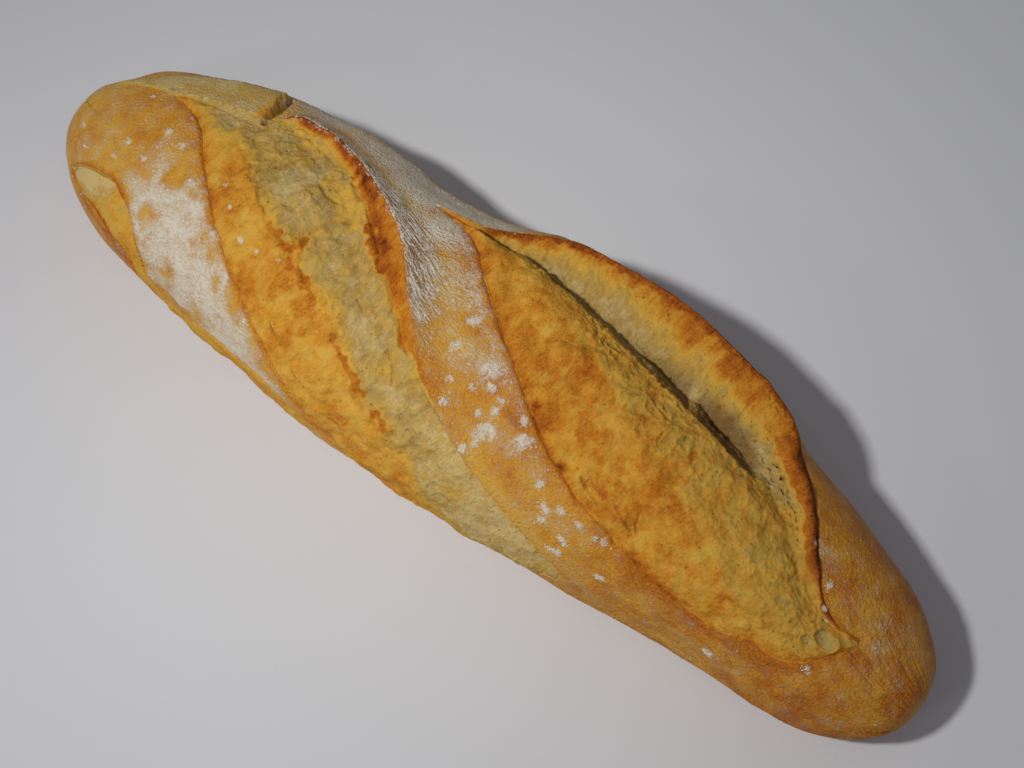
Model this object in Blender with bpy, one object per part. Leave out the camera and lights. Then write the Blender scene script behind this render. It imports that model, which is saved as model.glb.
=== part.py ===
"""A long stone-baked loaf with a floured crust and three slanting slashes that burst open as it baked.

The loaf lies along X with its flat underside at z = 0, its near side at -Y and its far side at +Y.
Places on its crust are written as (along, round): millimetres along the loaf from its middle, and degrees
round its girth, with 0 at the far side's widest line, 90 on top and 180 at the near side's widest line.
The plain body comes first, as a swept cross-section, and the slashes and lumps are raised along its normals.
"""

import bpy
import numpy as np

MM = 0.001

# Driving sizes of the plain loaf, in millimetres and shares
LENGTH = 320.0
HALF_WIDTH = 45.4
HEIGHT = 62.0
TIP_HEIGHT = 20.0  # of each pointed end above the stone
BOW = 5.3  # how far the middle of the loaf bends to the far side
SWAY = 1.7  # how far the two halves bend in opposite directions
TAPER = 0.083  # by which one end is wider and the other narrower
WAIST = 0.028  # by which the middle is fuller than the quarters
ROUNDNESS = 2.25  # power of the upper curve of the cross-section, where 2 is an ellipse
WIDEST_AT = 0.40  # share of the height where the cross-section is widest
BASE_SHARE = 0.70  # width of the flat underside as a share of the whole width
LIFT_FROM = 0.80  # share of the half length where the underside starts to curve up
TIP_SHARE = 0.03  # share of the half length at each tip where the relief fades out

# Grid of the fine surface, and the triangles that are left for the solid
ROWS = 420
COLUMNS = 300
TRIANGLES = 11600

# Unevenness: size of the lumps and their height, in millimetres
BODY_LUMPS = ((34, 0.7), (14, 0.35))
CRUMB_LUMPS = ((9, 0.8), (4.5, 0.5))


def smooth_line(*points):
    """A smooth line through (along, value) points, as a function of along, which never swings past a point.
    It stays level beyond its ends."""
    at, value = np.array(points, float).T
    rise = np.diff(value) / np.diff(at)
    before, after = rise[:-1], rise[1:]
    same_way = before * after > 0
    mean = 2 * before * after / np.where(same_way, before + after, 1)
    slope = np.concatenate([rise[:1], np.where(same_way, mean, 0), rise[-1:]])

    def line(along):
        along = np.clip(along, at[0], at[-1])
        i = np.clip(np.searchsorted(at, along, side="right") - 1, 0, len(at) - 2)
        gap = at[i + 1] - at[i]
        t = (along - at[i]) / gap
        start = value[i] * (1 + 2 * t) * (1 - t) ** 2 + slope[i] * gap * t * (1 - t) ** 2
        end = value[i + 1] * t**2 * (3 - 2 * t) - slope[i + 1] * gap * t**2 * (1 - t)
        return start + end

    return line


def across_edge(edge, along, per_degree):
    """Millimetres for each degree, measured straight across a slanting edge."""
    slant = (edge(along + 1) - edge(along - 1)) / 2 * per_degree
    return per_degree / np.sqrt(1 + slant**2)


class Slash:
    """One opened slash. Across it, from the far side to the near side, lie its far edge, where the crust is
    torn up into an ear, the foot of the torn wall below that ear, and its near edge, where the crust steps
    down to the crumb. Edges are degrees round the girth, and heights are millimetres."""

    def __init__(self, start, end, far, foot, near, ear, depth, drop, back, dome, roll=None):
        self.start, self.end = start, end
        self.far, self.foot, self.near = smooth_line(*far), smooth_line(*foot), smooth_line(*near)
        self.ear, self.depth, self.drop = smooth_line(*ear), smooth_line(*depth), smooth_line(*drop)
        self.back = back  # width of the slope behind the ear
        self.dome = dome  # how much the crumb bulges between the foot and the near edge
        self.roll = smooth_line(*roll) if roll else lambda along: 0 * along  # share of the ear rolled over

    def relief(self, along, degrees, per_degree):
        """The height added at each place, and 1 inside the slash or 0 on the crust."""
        far, foot, near = self.far(along), self.foot(along), self.near(along)
        ear, depth, roll = self.ear(along), self.depth(along), self.roll(along)
        straight = across_edge(self.near, along, per_degree)
        gape = ease((near - far) * straight / 6)
        drop = self.drop(along) * gape
        behind = np.clip((far - degrees) * across_edge(self.far, along, per_degree) / self.back, 0, 1)
        back = ear * (1 - roll) * (1 - behind) ** 1.6
        down = np.clip((degrees - far) / np.maximum(foot - far, 0.01), 0, 1)
        lip = ear * (1 - roll)
        rolled = ear * roll * np.sin(np.pi * np.clip(down / 0.6, 0, 1))
        fall = 0.45 * ease(down) + 0.55 * (1 - (1 - down) ** 1.5)
        wall = lip + rolled - (lip + depth) * fall
        t = np.clip((degrees - foot) / np.maximum(near - foot, 0.01), 0, 1)
        rise = 1 - np.clip(1 - t / 0.55, 0, 1) ** 2
        crumb = -depth + (depth - drop) * rise + self.dome * gape * np.sin(np.pi * t)
        beyond = (degrees - near) * straight
        curled = CURL * gape * np.clip(1 - np.abs(beyond - EDGE_WIDTH) / (3 * EDGE_WIDTH), 0, 1)
        crust = curled - drop * (1 - ease(beyond / EDGE_WIDTH))
        height = np.where(degrees < far, back, np.where(degrees < foot, wall, crumb))
        height = np.where(degrees > near, crust, height)
        fade = ease((along - self.start) / 5) * ease((self.end - along) / 8)
        inside = (degrees > far) & (degrees < near)
        return height * fade, inside * gape * fade


# Near edges of the slashes, in millimetres
EDGE_WIDTH = 1.3
CURL = 0.5

# A narrow slash low on the near side at the left end, whose crumb later swells past the crust
END_SLASH = Slash(
    start=-147,
    end=-26,
    far=[
        (-146, 155), (-138, 137.5), (-130, 131), (-122, 129), (-114, 133.5), (-106, 147), (-98, 167),
        (-90, 178), (-80, 176), (-68, 174), (-52, 174.5), (-38, 178), (-28, 187),
    ],
    foot=[
        (-146, 155.5), (-138, 140.5), (-130, 135), (-122, 133), (-114, 137.5), (-106, 151), (-98, 170),
        (-90, 181), (-80, 178), (-68, 176), (-52, 176.5), (-38, 180), (-28, 187.5),
    ],
    near=[
        (-146, 156), (-142, 151), (-138, 153.8), (-130, 159.6), (-118, 164.3), (-110, 171.4), (-104, 182),
        (-96, 196), (-85, 208), (-60, 212), (-40, 204), (-28, 190),
    ],
    ear=[(-146, 0.2), (-125, 1.0), (-100, 0.8), (-90, 0.3), (-28, 0.3)],
    depth=[(-146, 0), (-135, 1.3), (-120, 2.0), (-105, 1.5), (-90, 0.3), (-78, -0.9), (-50, -0.9), (-28, 0)],
    drop=[(-146, 0.2), (-130, 1.2), (-105, 0.8), (-85, 0), (-28, 0)],
    back=9,
    dome=0.5,
)

# The wide slash of the left half, from the far side across the top and down the near side
LEFT_SLASH = Slash(
    start=-127,
    end=60,
    far=[
        (-124, 73.5), (-114, 71), (-103, 69), (-97, 66.5), (-92, 62.5), (-86, 57.8), (-78, 58.2), (-70, 60.5),
        (-60, 65.5), (-49, 73.3), (-38, 81.3), (-28, 90), (-15, 104.5), (3, 124), (22, 140), (45, 158.5), (58, 171),
    ],
    foot=[
        (-124, 74.5), (-114, 72.5), (-103, 71.5), (-95, 70.5), (-86, 64), (-75, 65.5), (-67, 69), (-60, 73.5),
        (-50, 82), (-37, 94), (-20, 107), (3, 127.5), (22, 142.5), (45, 160), (58, 172),
    ],
    near=[
        (-124, 76), (-114, 81.9), (-106, 89), (-100, 95.9), (-90, 107.6), (-80, 119.5), (-65, 136.1),
        (-50, 153.5), (-40, 166), (-30, 177), (-15, 194), (0, 205), (25, 206), (45, 196), (58, 178),
    ],
    ear=[
        (-124, 0.5), (-114, 1.3), (-98, 1.8), (-95.5, 0), (-93, -0.6), (-90, 1.8), (-84, 2.8), (-70, 3.1),
        (-40, 2.6), (-10, 2.0), (34, 0.8), (58, 0),
    ],
    depth=[(-124, 0.2), (-110, 1.2), (-97, 3.0), (-80, 3.4), (-40, 2.8), (0, 2.0), (34, 1.0), (58, 0)],
    drop=[(-124, 0.3), (-105, 1.2), (-80, 1.8), (-40, 1.5), (-15, 0.8), (0, 0.2), (15, 0), (58, 0)],
    back=9,
    dome=1.2,
)

# The longest slash, over the right half, with a tall ear along the far side
RIGHT_SLASH = Slash(
    start=-37,
    end=139,
    far=[
        (-34, 59), (-25, 59), (-20, 58), (-15, 54.2), (-10, 50), (-5, 46), (0, 43), (10, 41.8), (20, 40.5),
        (40, 38.5), (60, 39), (75, 38), (85, 38.5), (90, 41), (95, 46.8), (100, 57), (106, 70.5), (112, 82.5),
        (118, 91.5), (124, 98), (130, 101), (139, 97),
    ],
    foot=[
        (-34, 60), (-25, 61.4), (-20, 60.4), (-10, 58), (0, 56.1), (20, 55.8), (40, 55.5), (60, 56.5), (70, 58),
        (80, 61.5), (90, 69.5), (100, 79), (110, 91), (118, 98), (124, 102), (130, 104), (139, 99),
    ],
    near=[
        (-34, 61), (-25, 63.5), (-15, 71), (-5, 82.5), (14, 95.5), (35, 114), (54, 128), (71, 137.5), (86, 144),
        (103, 148), (112, 140), (121, 139), (127, 133), (132, 118), (136, 107), (139, 100),
    ],
    ear=[
        (-34, 0.2), (-20, 1.2), (-10, 1.6), (0, 2.2), (5, 3.9), (10, 5.0), (20, 6.2), (30, 7.4), (40, 8.3),
        (50, 8.7), (60, 8.3), (70, 7.3), (80, 6.1), (90, 3.8), (97, 2.8), (109, 2.2), (121, 1.6), (127, 0.6), (139, 0),
    ],
    depth=[
        (-34, 0.3), (-20, 2.0), (0, 5.5), (20, 7.5), (45, 9.0), (70, 9.0), (80, 7.5), (90, 5.0), (103, 2.5),
        (121, 1.0), (139, 0),
    ],
    drop=[(-34, 0.3), (-15, 1.5), (20, 2.0), (60, 1.6), (90, 1.2), (115, 0.8), (128, 0.4), (139, 0.2)],
    back=24,
    dome=1.4,
    roll=[(-34, 0), (84, 0), (98, 0.85), (118, 0.9), (139, 0.5)],
)

SLASHES = (END_SLASH, LEFT_SLASH, RIGHT_SLASH)

# Hollows in the two flanks, in millimetres inwards, where negative is outwards
FAR_HOLLOW = smooth_line(
    (-160, 2.0), (-152, 2.8), (-142, 0), (-75, 0), (-55, 3.0), (-42, 5.6), (-28, 6.0), (-14, 4.0), (0, 0.5),
    (8, 0), (82, 0), (96, 1.6), (112, 1.6), (128, 1.2), (145, 0), (160, -0.5),
)
NEAR_HOLLOW = smooth_line(
    (-160, 0), (-148, 1.0), (-125, 0.6), (-90, 1.0), (-60, 1.0), (-40, 0), (60, 0), (82, 1.2), (97, 2.2),
    (110, 1.5), (122, -0.3), (136, -1.3), (150, -0.6), (160, 0),
)

# Bowls left by burst bubbles and blisters that still stand: (along, round, radius, height)
BUBBLES = (
    (123.7, 118, 2.0, -0.9), (127.6, 112.5, 2.9, -1.1), (131.5, 106.5, 1.6, -0.6),
    (109.2, 133, 1.8, 1.1), (112.0, 126.5, 1.6, 0.9),
)


def ease(t):
    """0 below 0, 1 above 1, and a soft S between."""
    t = np.clip(t, 0, 1)
    return t * t * (3 - 2 * t)


def swell(s, power, root):
    """1 at the middle of the loaf, falling to 0 at its tips, s = -1 and 1."""
    return np.maximum(1 - np.abs(s) ** power, 0) ** (1 / root)


def girth_sizes(s):
    """Half width, heights of the base, widest line and top, and the share of the width that lies flat."""
    half_width = HALF_WIDTH * swell(s, 2.025, 2.51) * (1 - TAPER * s + WAIST * np.cos(2 * np.pi * s))
    top = TIP_HEIGHT + (HEIGHT - TIP_HEIGHT) * swell(s, 2.3, 2.1)
    lift = np.clip((np.abs(s) - LIFT_FROM) / (1 - LIFT_FROM), 0, 1)
    base = TIP_HEIGHT * (1 - np.sqrt(1 - lift**2))
    widest = base + WIDEST_AT * (top - base)
    flat_share = BASE_SHARE * (1 - 0.6 * lift**2)
    return half_width, base, widest, top, flat_share


def body_points(s, degrees):
    """Points of the plain loaf, in millimetres, at shares of its half length and degrees round its girth."""
    s, degrees = np.broadcast_arrays(s, degrees)
    half_width, base, widest, top, flat_share = girth_sizes(s)
    centre = BOW * (1 - s**2) + SWAY * np.sin(np.pi * s)
    turn = np.radians(degrees)
    across, up = np.cos(turn), np.sin(turn)
    above = (degrees >= 0) & (degrees <= 180)
    side = np.where(
        above,
        half_width * np.sign(across) * np.abs(across) ** (2 / ROUNDNESS),
        half_width * np.sign(across) * (flat_share + (1 - flat_share) * np.abs(across)),
    )
    height = np.where(
        above,
        widest + (top - widest) * np.abs(up) ** (2 / ROUNDNESS),
        widest - (widest - base) * np.abs(up),
    )
    return np.stack([s * LENGTH / 2, side + centre, height], -1)


def body_normals(s, degrees):
    """Outward directions at the same places."""
    small_step, small_turn = 0.002, 0.2
    ahead = np.clip(s + small_step, -1, 1)
    behind = np.clip(s - small_step, -1, 1)
    along = body_points(ahead, degrees) - body_points(behind, degrees)
    around = body_points(s, degrees + small_turn) - body_points(s, degrees - small_turn)
    normal = np.cross(around, along)
    return normal / np.maximum(np.linalg.norm(normal, axis=-1, keepdims=True), 1e-9)


def cell_value(cells, seed):
    """A fixed pseudo-random value from -1 to 1 for each whole-number cell of space."""
    x, y, z = (cells[..., i].astype(np.int64).astype(np.uint32) for i in range(3))
    mixed = x * np.uint32(0x8DA6B343) ^ y * np.uint32(0xD8163841) ^ z * np.uint32(0xCB1AB31F)
    mixed = mixed ^ np.uint32(seed * 7919 + 17)
    mixed = (mixed ^ (mixed >> np.uint32(13))) * np.uint32(0x27D4EB2D)
    mixed = (mixed ^ (mixed >> np.uint32(15))) * np.uint32(0x85EBCA6B)
    mixed = mixed ^ (mixed >> np.uint32(16))
    return mixed / 2147483647.5 - 1


def lumps(points, size, seed):
    """Soft noise from about -1 to 1 with lumps of the given size."""
    place = points / size
    cell = np.floor(place)
    t = place - cell
    t = t * t * t * (t * (t * 6 - 15) + 10)
    total = 0
    for i in (0, 1):
        for j in (0, 1):
            for k in (0, 1):
                corner = cell_value(cell + np.array([i, j, k]), seed)
                weight = np.where(i, t[..., 0], 1 - t[..., 0]) * np.where(j, t[..., 1], 1 - t[..., 1])
                total = total + corner * weight * np.where(k, t[..., 2], 1 - t[..., 2])
    return total


def relief_height(s, degrees, points):
    """Height of the crust and crumb over the plain loaf, in millimetres."""
    along = s * LENGTH / 2
    half_width, _, widest, top, _ = girth_sizes(s)
    per_degree = np.radians((half_width + top - widest) / 2)
    height = -FAR_HOLLOW(along) * ease((85 - degrees) / 50) * ease((degrees + 60) / 60)
    height = height - NEAR_HOLLOW(along) * ease((degrees - 110) / 60) * ease((250 - degrees) / 40)
    crumb = 0
    for slash in SLASHES:
        slash_height, inside = slash.relief(along, degrees, per_degree)
        height = height + slash_height
        crumb = crumb + inside
    for at, turn, radius, bubble_height in BUBBLES:
        away = np.hypot(along - at, (degrees - turn) * per_degree) / radius
        height = height + bubble_height * np.clip(1 - away**2, 0, 1) ** 0.7
    for number, (size, bump) in enumerate(BODY_LUMPS):
        height = height + bump * lumps(points, size, number + 1)
    for number, (size, bump) in enumerate(CRUMB_LUMPS):
        height = height + crumb * bump * lumps(points, size, number + 3)
    off_base = ease((degrees + 75) / 40) * ease((255 - degrees) / 40)
    off_tip = ease((1 - np.abs(s)) / TIP_SHARE)
    return height * off_base * off_tip


def loaf_points(s, degrees):
    points = body_points(s, degrees)
    return points + body_normals(s, degrees) * relief_height(s, degrees, points)[..., None]


def loaf_mesh():
    """A fine closed mesh, centred on x = 0 and y = 0: rings of points round the loaf, the flat underside
    between their ends, and a point at each tip."""
    turns = np.linspace(-np.pi / 2, np.pi / 2, ROWS + 2)[1:-1]
    s = np.sin(turns)[:, None]
    degrees = np.linspace(-90, 270, COLUMNS)[None, :]
    rings = loaf_points(s, degrees).reshape(-1, 3)
    tips = body_points(np.array([-1.0, 1.0]), np.array([90.0, 90.0]))
    points = np.concatenate([rings, tips])
    middle = (points.min(axis=0) + points.max(axis=0)) / 2
    points = np.round(points - [middle[0], middle[1], 0], 3) * MM
    left_tip, right_tip = len(rings), len(rings) + 1
    last_ring = (ROWS - 1) * COLUMNS
    faces = []
    for j in range(COLUMNS):
        k = (j + 1) % COLUMNS
        for i in range(0, last_ring, COLUMNS):
            faces.append((i + j, i + k, i + k + COLUMNS, i + j + COLUMNS))
        faces.append((left_tip, k, j))
        faces.append((right_tip, last_ring + j, last_ring + k))
    mesh = bpy.data.meshes.new("loaf")
    mesh.from_pydata(points.tolist(), [], faces)
    return mesh


def crust_material():
    material = bpy.data.materials.new("floured baked crust")
    material.use_nodes = True
    shader = material.node_tree.nodes["Principled BSDF"]
    shader.inputs["Base Color"].default_value = (0.45, 0.24, 0.09, 1)
    shader.inputs["Roughness"].default_value = 0.8
    shader.inputs["Metallic"].default_value = 0.0
    return material


def main():
    for obj in list(bpy.data.objects):
        bpy.data.objects.remove(obj, do_unlink=True)
    loaf = bpy.data.objects.new("loaf", loaf_mesh())
    bpy.context.scene.collection.objects.link(loaf)
    loaf.data.materials.append(crust_material())
    loaf.data.shade_smooth()
    thinning = loaf.modifiers.new("fewer faces where the crust is smooth", "DECIMATE")
    thinning.ratio = TRIANGLES / (2 * ROWS * COLUMNS)


main()
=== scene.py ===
# %% [markdown]
# # A stone-baked loaf
# This script dresses the plain solid of a long white loaf as the real thing: a floured crust, three slashes
# that tore open in the oven, the pale crumb inside them, and flour lying on top.
# The solid comes from the frame. It has the true size and form, but too few faces for crust and crumb.
# So the same named sizes are used again here on a much finer grid, and the result stands in for the solid.

# %% Load the frame
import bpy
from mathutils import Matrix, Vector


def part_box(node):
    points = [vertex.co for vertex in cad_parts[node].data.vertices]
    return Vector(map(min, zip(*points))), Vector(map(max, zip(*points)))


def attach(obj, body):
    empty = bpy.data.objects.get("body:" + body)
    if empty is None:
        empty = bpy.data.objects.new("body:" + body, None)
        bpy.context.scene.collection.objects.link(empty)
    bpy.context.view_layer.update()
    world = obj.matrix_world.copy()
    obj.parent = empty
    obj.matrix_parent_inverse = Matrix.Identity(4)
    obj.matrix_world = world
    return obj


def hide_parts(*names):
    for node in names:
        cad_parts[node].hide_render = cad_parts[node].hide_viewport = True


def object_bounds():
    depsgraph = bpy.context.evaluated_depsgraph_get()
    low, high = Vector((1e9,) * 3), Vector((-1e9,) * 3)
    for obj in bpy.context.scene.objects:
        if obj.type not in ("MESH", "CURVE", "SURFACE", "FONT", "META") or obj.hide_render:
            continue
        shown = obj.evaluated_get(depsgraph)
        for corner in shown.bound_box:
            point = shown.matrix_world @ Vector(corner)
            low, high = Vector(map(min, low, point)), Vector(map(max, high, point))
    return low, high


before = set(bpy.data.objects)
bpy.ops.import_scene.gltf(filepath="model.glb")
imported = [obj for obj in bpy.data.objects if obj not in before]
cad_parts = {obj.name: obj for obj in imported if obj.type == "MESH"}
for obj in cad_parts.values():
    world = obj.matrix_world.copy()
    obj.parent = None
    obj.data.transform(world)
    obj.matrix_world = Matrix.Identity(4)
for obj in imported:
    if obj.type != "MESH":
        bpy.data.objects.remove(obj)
cad_box = [list(corner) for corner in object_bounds()]

import math

import bpy
import numpy as np
from mathutils import Vector

MM = 0.001
low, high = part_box("loaf")
print("solid loaf, mm:", [round((b - a) / MM, 1) for a, b in zip(low, high)])

# %% [markdown]
# ## The plain loaf
# A baker rolls a loaf like this into a long sausage with tapering ends. Its cross-section is close to an
# ellipse that sits on a flat base. A swept cross-section is the simplest rule for such a body: every row has
# its own half width and height, and a row's points run round the girth by an angle.
# Places on the crust are written as (along, round): millimetres along the loaf from its middle, and degrees
# round its girth, with 0 on the far side's widest line, 90 on top and 180 on the near side's widest line.

# %% The plain loaf's sizes, in millimetres and shares
LENGTH = 320.0
HALF_WIDTH = 45.4
HEIGHT = 62.0
TIP_HEIGHT = 20.0
BOW = 5.3
SWAY = 1.7
TAPER = 0.083
WAIST = 0.028
ROUNDNESS = 2.25
WIDEST_AT = 0.40
BASE_SHARE = 0.70
LIFT_FROM = 0.80
TIP_SHARE = 0.03


def swell(s, power, root):
    """1 at the middle of the loaf, falling to 0 at its tips, s = -1 and 1."""
    return np.maximum(1 - np.abs(s) ** power, 0) ** (1 / root)


def girth_sizes(s):
    """Half width, heights of the base, widest line and top, and the share of the width that lies flat."""
    half_width = HALF_WIDTH * swell(s, 2.025, 2.51) * (1 - TAPER * s + WAIST * np.cos(2 * np.pi * s))
    top = TIP_HEIGHT + (HEIGHT - TIP_HEIGHT) * swell(s, 2.3, 2.1)
    lift = np.clip((np.abs(s) - LIFT_FROM) / (1 - LIFT_FROM), 0, 1)
    base = TIP_HEIGHT * (1 - np.sqrt(1 - lift**2))
    widest = base + WIDEST_AT * (top - base)
    return half_width, base, widest, top, BASE_SHARE * (1 - 0.6 * lift**2)


def middle_line(s):
    """How far the loaf's bent middle line lies to the far side."""
    return BOW * (1 - s**2) + SWAY * np.sin(np.pi * s)


middle_row = girth_sizes(np.array([0.0]))
print("middle row, mm: half width %.1f, top %.1f" % (middle_row[0][0], middle_row[3][0]))

# %% Points and outward directions of the plain loaf
def body_points(s, degrees):
    """Points of the plain loaf at shares of its half length and degrees round its girth."""
    s, degrees = np.broadcast_arrays(s, degrees)
    half_width, base, widest, top, flat_share = girth_sizes(s)
    across, up = np.cos(np.radians(degrees)), np.sin(np.radians(degrees))
    above = (degrees >= 0) & (degrees <= 180)
    side = half_width * np.sign(across) * np.where(
        above,
        np.abs(across) ** (2 / ROUNDNESS),
        flat_share + (1 - flat_share) * np.abs(across),
    )
    height = np.where(
        above,
        widest + (top - widest) * np.abs(up) ** (2 / ROUNDNESS),
        widest - (widest - base) * np.abs(up),
    )
    return np.stack([s * LENGTH / 2, side + middle_line(s), height], -1)


def body_normals(s, degrees):
    """Outward directions at the same places."""
    small_step, small_turn = 0.002, 0.2
    ahead, behind = np.clip(s + small_step, -1, 1), np.clip(s - small_step, -1, 1)
    along = body_points(ahead, degrees) - body_points(behind, degrees)
    around = body_points(s, degrees + small_turn) - body_points(s, degrees - small_turn)
    normal = np.cross(around, along)
    return normal / np.maximum(np.linalg.norm(normal, axis=-1, keepdims=True), 1e-9)


print("nose of the loaf, mm:", body_points(1.0, 90.0).round(1).tolist())

# %% [markdown]
# ## Soft borders
# Nothing on bread begins at a sharp line. These few functions say where a look begins and ends, and how
# softly, and the rest of the script is written with them.

# %% Soft steps
def ease(t):
    """0 below 0, 1 above 1, and a soft S between."""
    t = np.clip(t, 0, 1)
    return t * t * (3 - 2 * t)


def beyond(value, start, width):
    """0 up to a start, then rising to 1 over a width."""
    return ease((value - start) / width)


def until(value, end, width):
    """1 at first, then falling over a width to 0 at the end."""
    return ease((end - value) / width)


def between(value, start, rise, end, fall):
    """Rising from 0 over the first stretch, and falling back to 0 over the last."""
    return beyond(value, start, rise) * until(value, end, fall)


def toward(value, target, share):
    """The value, moved a share of the way to its target."""
    return value + (target - value) * share


print("a soft step from 0 to 1 in quarters:", ease(np.linspace(0, 1, 5)).round(2))

# %% [markdown]
# ## Random lumps
# Dough is never even. Two kinds of noise make everything uneven here, both worked out from whole-number
# cells of space, so that they come out the same on every run:
# - lumps, a soft swelling noise, for the body, blisters and ragged edges;
# - bubbles, distances to one random spot per cell, for pores and the thin walls between burst gas cells.

# %% Noise by cells
def cell_value(cells, seed):
    """A fixed pseudo-random value from -1 to 1 for each whole-number cell of space."""
    x, y, z = (cells[..., i].astype(np.int64).astype(np.uint32) for i in range(3))
    mixed = x * np.uint32(0x8DA6B343) ^ y * np.uint32(0xD8163841) ^ z * np.uint32(0xCB1AB31F)
    mixed = mixed ^ np.uint32(seed * 7919 + 17)
    mixed = (mixed ^ (mixed >> np.uint32(13))) * np.uint32(0x27D4EB2D)
    mixed = (mixed ^ (mixed >> np.uint32(15))) * np.uint32(0x85EBCA6B)
    mixed = mixed ^ (mixed >> np.uint32(16))
    return mixed / 2147483647.5 - 1


def lumps(points, size, seed):
    """Soft noise from about -1 to 1 with lumps of the given size."""
    place = points / size
    cell = np.floor(place)
    t = place - cell
    t = t * t * t * (t * (t * 6 - 15) + 10)
    total = 0
    for i in (0, 1):
        for j in (0, 1):
            for k in (0, 1):
                corner = cell_value(cell + np.array([i, j, k]), seed)
                weight = np.where(i, t[..., 0], 1 - t[..., 0]) * np.where(j, t[..., 1], 1 - t[..., 1])
                total = total + corner * weight * np.where(k, t[..., 2], 1 - t[..., 2])
    return total


def flat(p, q, long=1.0, wide=1.0):
    """Points of a flat pattern, stretched to the given length and width."""
    return np.stack(np.broadcast_arrays(p / long, q / wide, 0.0), -1)


def wander(along, size, seed):
    """Noise from -1 to 1 that changes only along a line, for ragged edges."""
    return lumps(flat(along, 0.5), size, seed)


print("values of three cells:", cell_value(np.arange(9).reshape(3, 3), 1).round(2))

# %% Random spots
def random_spots(place, seed):
    """For the 3 by 3 cells round each place: the cell, and the way there from its one random spot."""
    cell = np.floor(place)
    for i in (-1, 0, 1):
        for j in (-1, 0, 1):
            corner = cell + np.array([i, j, 0])
            x = place[..., 0] - (corner[..., 0] + 0.5 + 0.45 * cell_value(corner, seed))
            y = place[..., 1] - (corner[..., 1] + 0.5 + 0.45 * cell_value(corner, seed + 1))
            yield corner, x, y


def bubbles(p, q, size, seed):
    """Distances to the nearest and the second nearest random spot, where spots lie about size apart."""
    place = flat(p, q, size, size)
    nearest = np.full(place.shape[:-1], 9.0)
    second = nearest.copy()
    for _, x, y in random_spots(place, seed):
        away = np.hypot(x, y)
        second = np.minimum(second, np.maximum(nearest, away))
        nearest = np.minimum(nearest, away)
    return nearest, second


print("noise at one place:", lumps(np.array([1.2, 3.4, 5.6]), 2.0, 1).round(3))

# %% [markdown]
# ## The slashes
# The baker cuts the dough with a blade held almost flat. In the oven the loaf swells, each cut opens, and
# the flap of crust on one side is torn up into an ear. A slash is described by three lines, given in
# degrees round the girth at places along the loaf: the ear's crest, the foot of the torn wall below it, and
# the near edge, where the crust steps down to the crumb. Smooth lines through a few points follow a baker's
# hand better than any formula would.

# %% Smooth lines through a few points
def smooth_line(*points):
    """A smooth line through (along, value) points, as a function of along, which never swings past a point.
    It stays level beyond its ends."""
    at, value = np.array(points, float).T
    rise = np.diff(value) / np.diff(at)
    before, after = rise[:-1], rise[1:]
    same_way = before * after > 0
    mean = 2 * before * after / np.where(same_way, before + after, 1)
    slope = np.concatenate([rise[:1], np.where(same_way, mean, 0), rise[-1:]])

    def line(along):
        along = np.clip(along, at[0], at[-1])
        i = np.clip(np.searchsorted(at, along, side="right") - 1, 0, len(at) - 2)
        gap = at[i + 1] - at[i]
        t = (along - at[i]) / gap
        start = value[i] * (1 + 2 * t) * (1 - t) ** 2 + slope[i] * gap * t * (1 - t) ** 2
        end = value[i + 1] * t**2 * (3 - 2 * t) - slope[i + 1] * gap * t**2 * (1 - t)
        return start + end

    return line


def ragged(edge, seed, amount):
    """The same line, torn: it wanders by about amount degrees."""
    def line(along):
        return edge(along) + amount * (0.6 * wander(along, 5.0, seed) + 0.4 * wander(along, 1.6, seed + 1))

    return line


print("a smooth line between its points:", smooth_line((0, 0), (1, 1), (2, 4))(1.5).round(2))

# %% [markdown]
# Across a slash, the far side's crust swells up to the ear's crest. From there the torn wall falls to its
# foot, the crumb rises again in a low dome, and the near edge ends in a thin curl over a small step.

# %% One opened slash
EDGE_WIDTH = 0.7
CURL = 0.25
STEP_SHARE = 0.3  # share of each crust step that is left after torn crumb has filled its foot
LINES = ("far", "foot", "near", "ear", "depth", "drop", "roll")


def across_edge(edge, along, per_degree):
    """Millimetres for each degree, measured straight across a slanting edge."""
    slant = (edge(along + 1) - edge(along - 1)) / 2 * per_degree
    return per_degree / np.sqrt(1 + slant**2)


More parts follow.
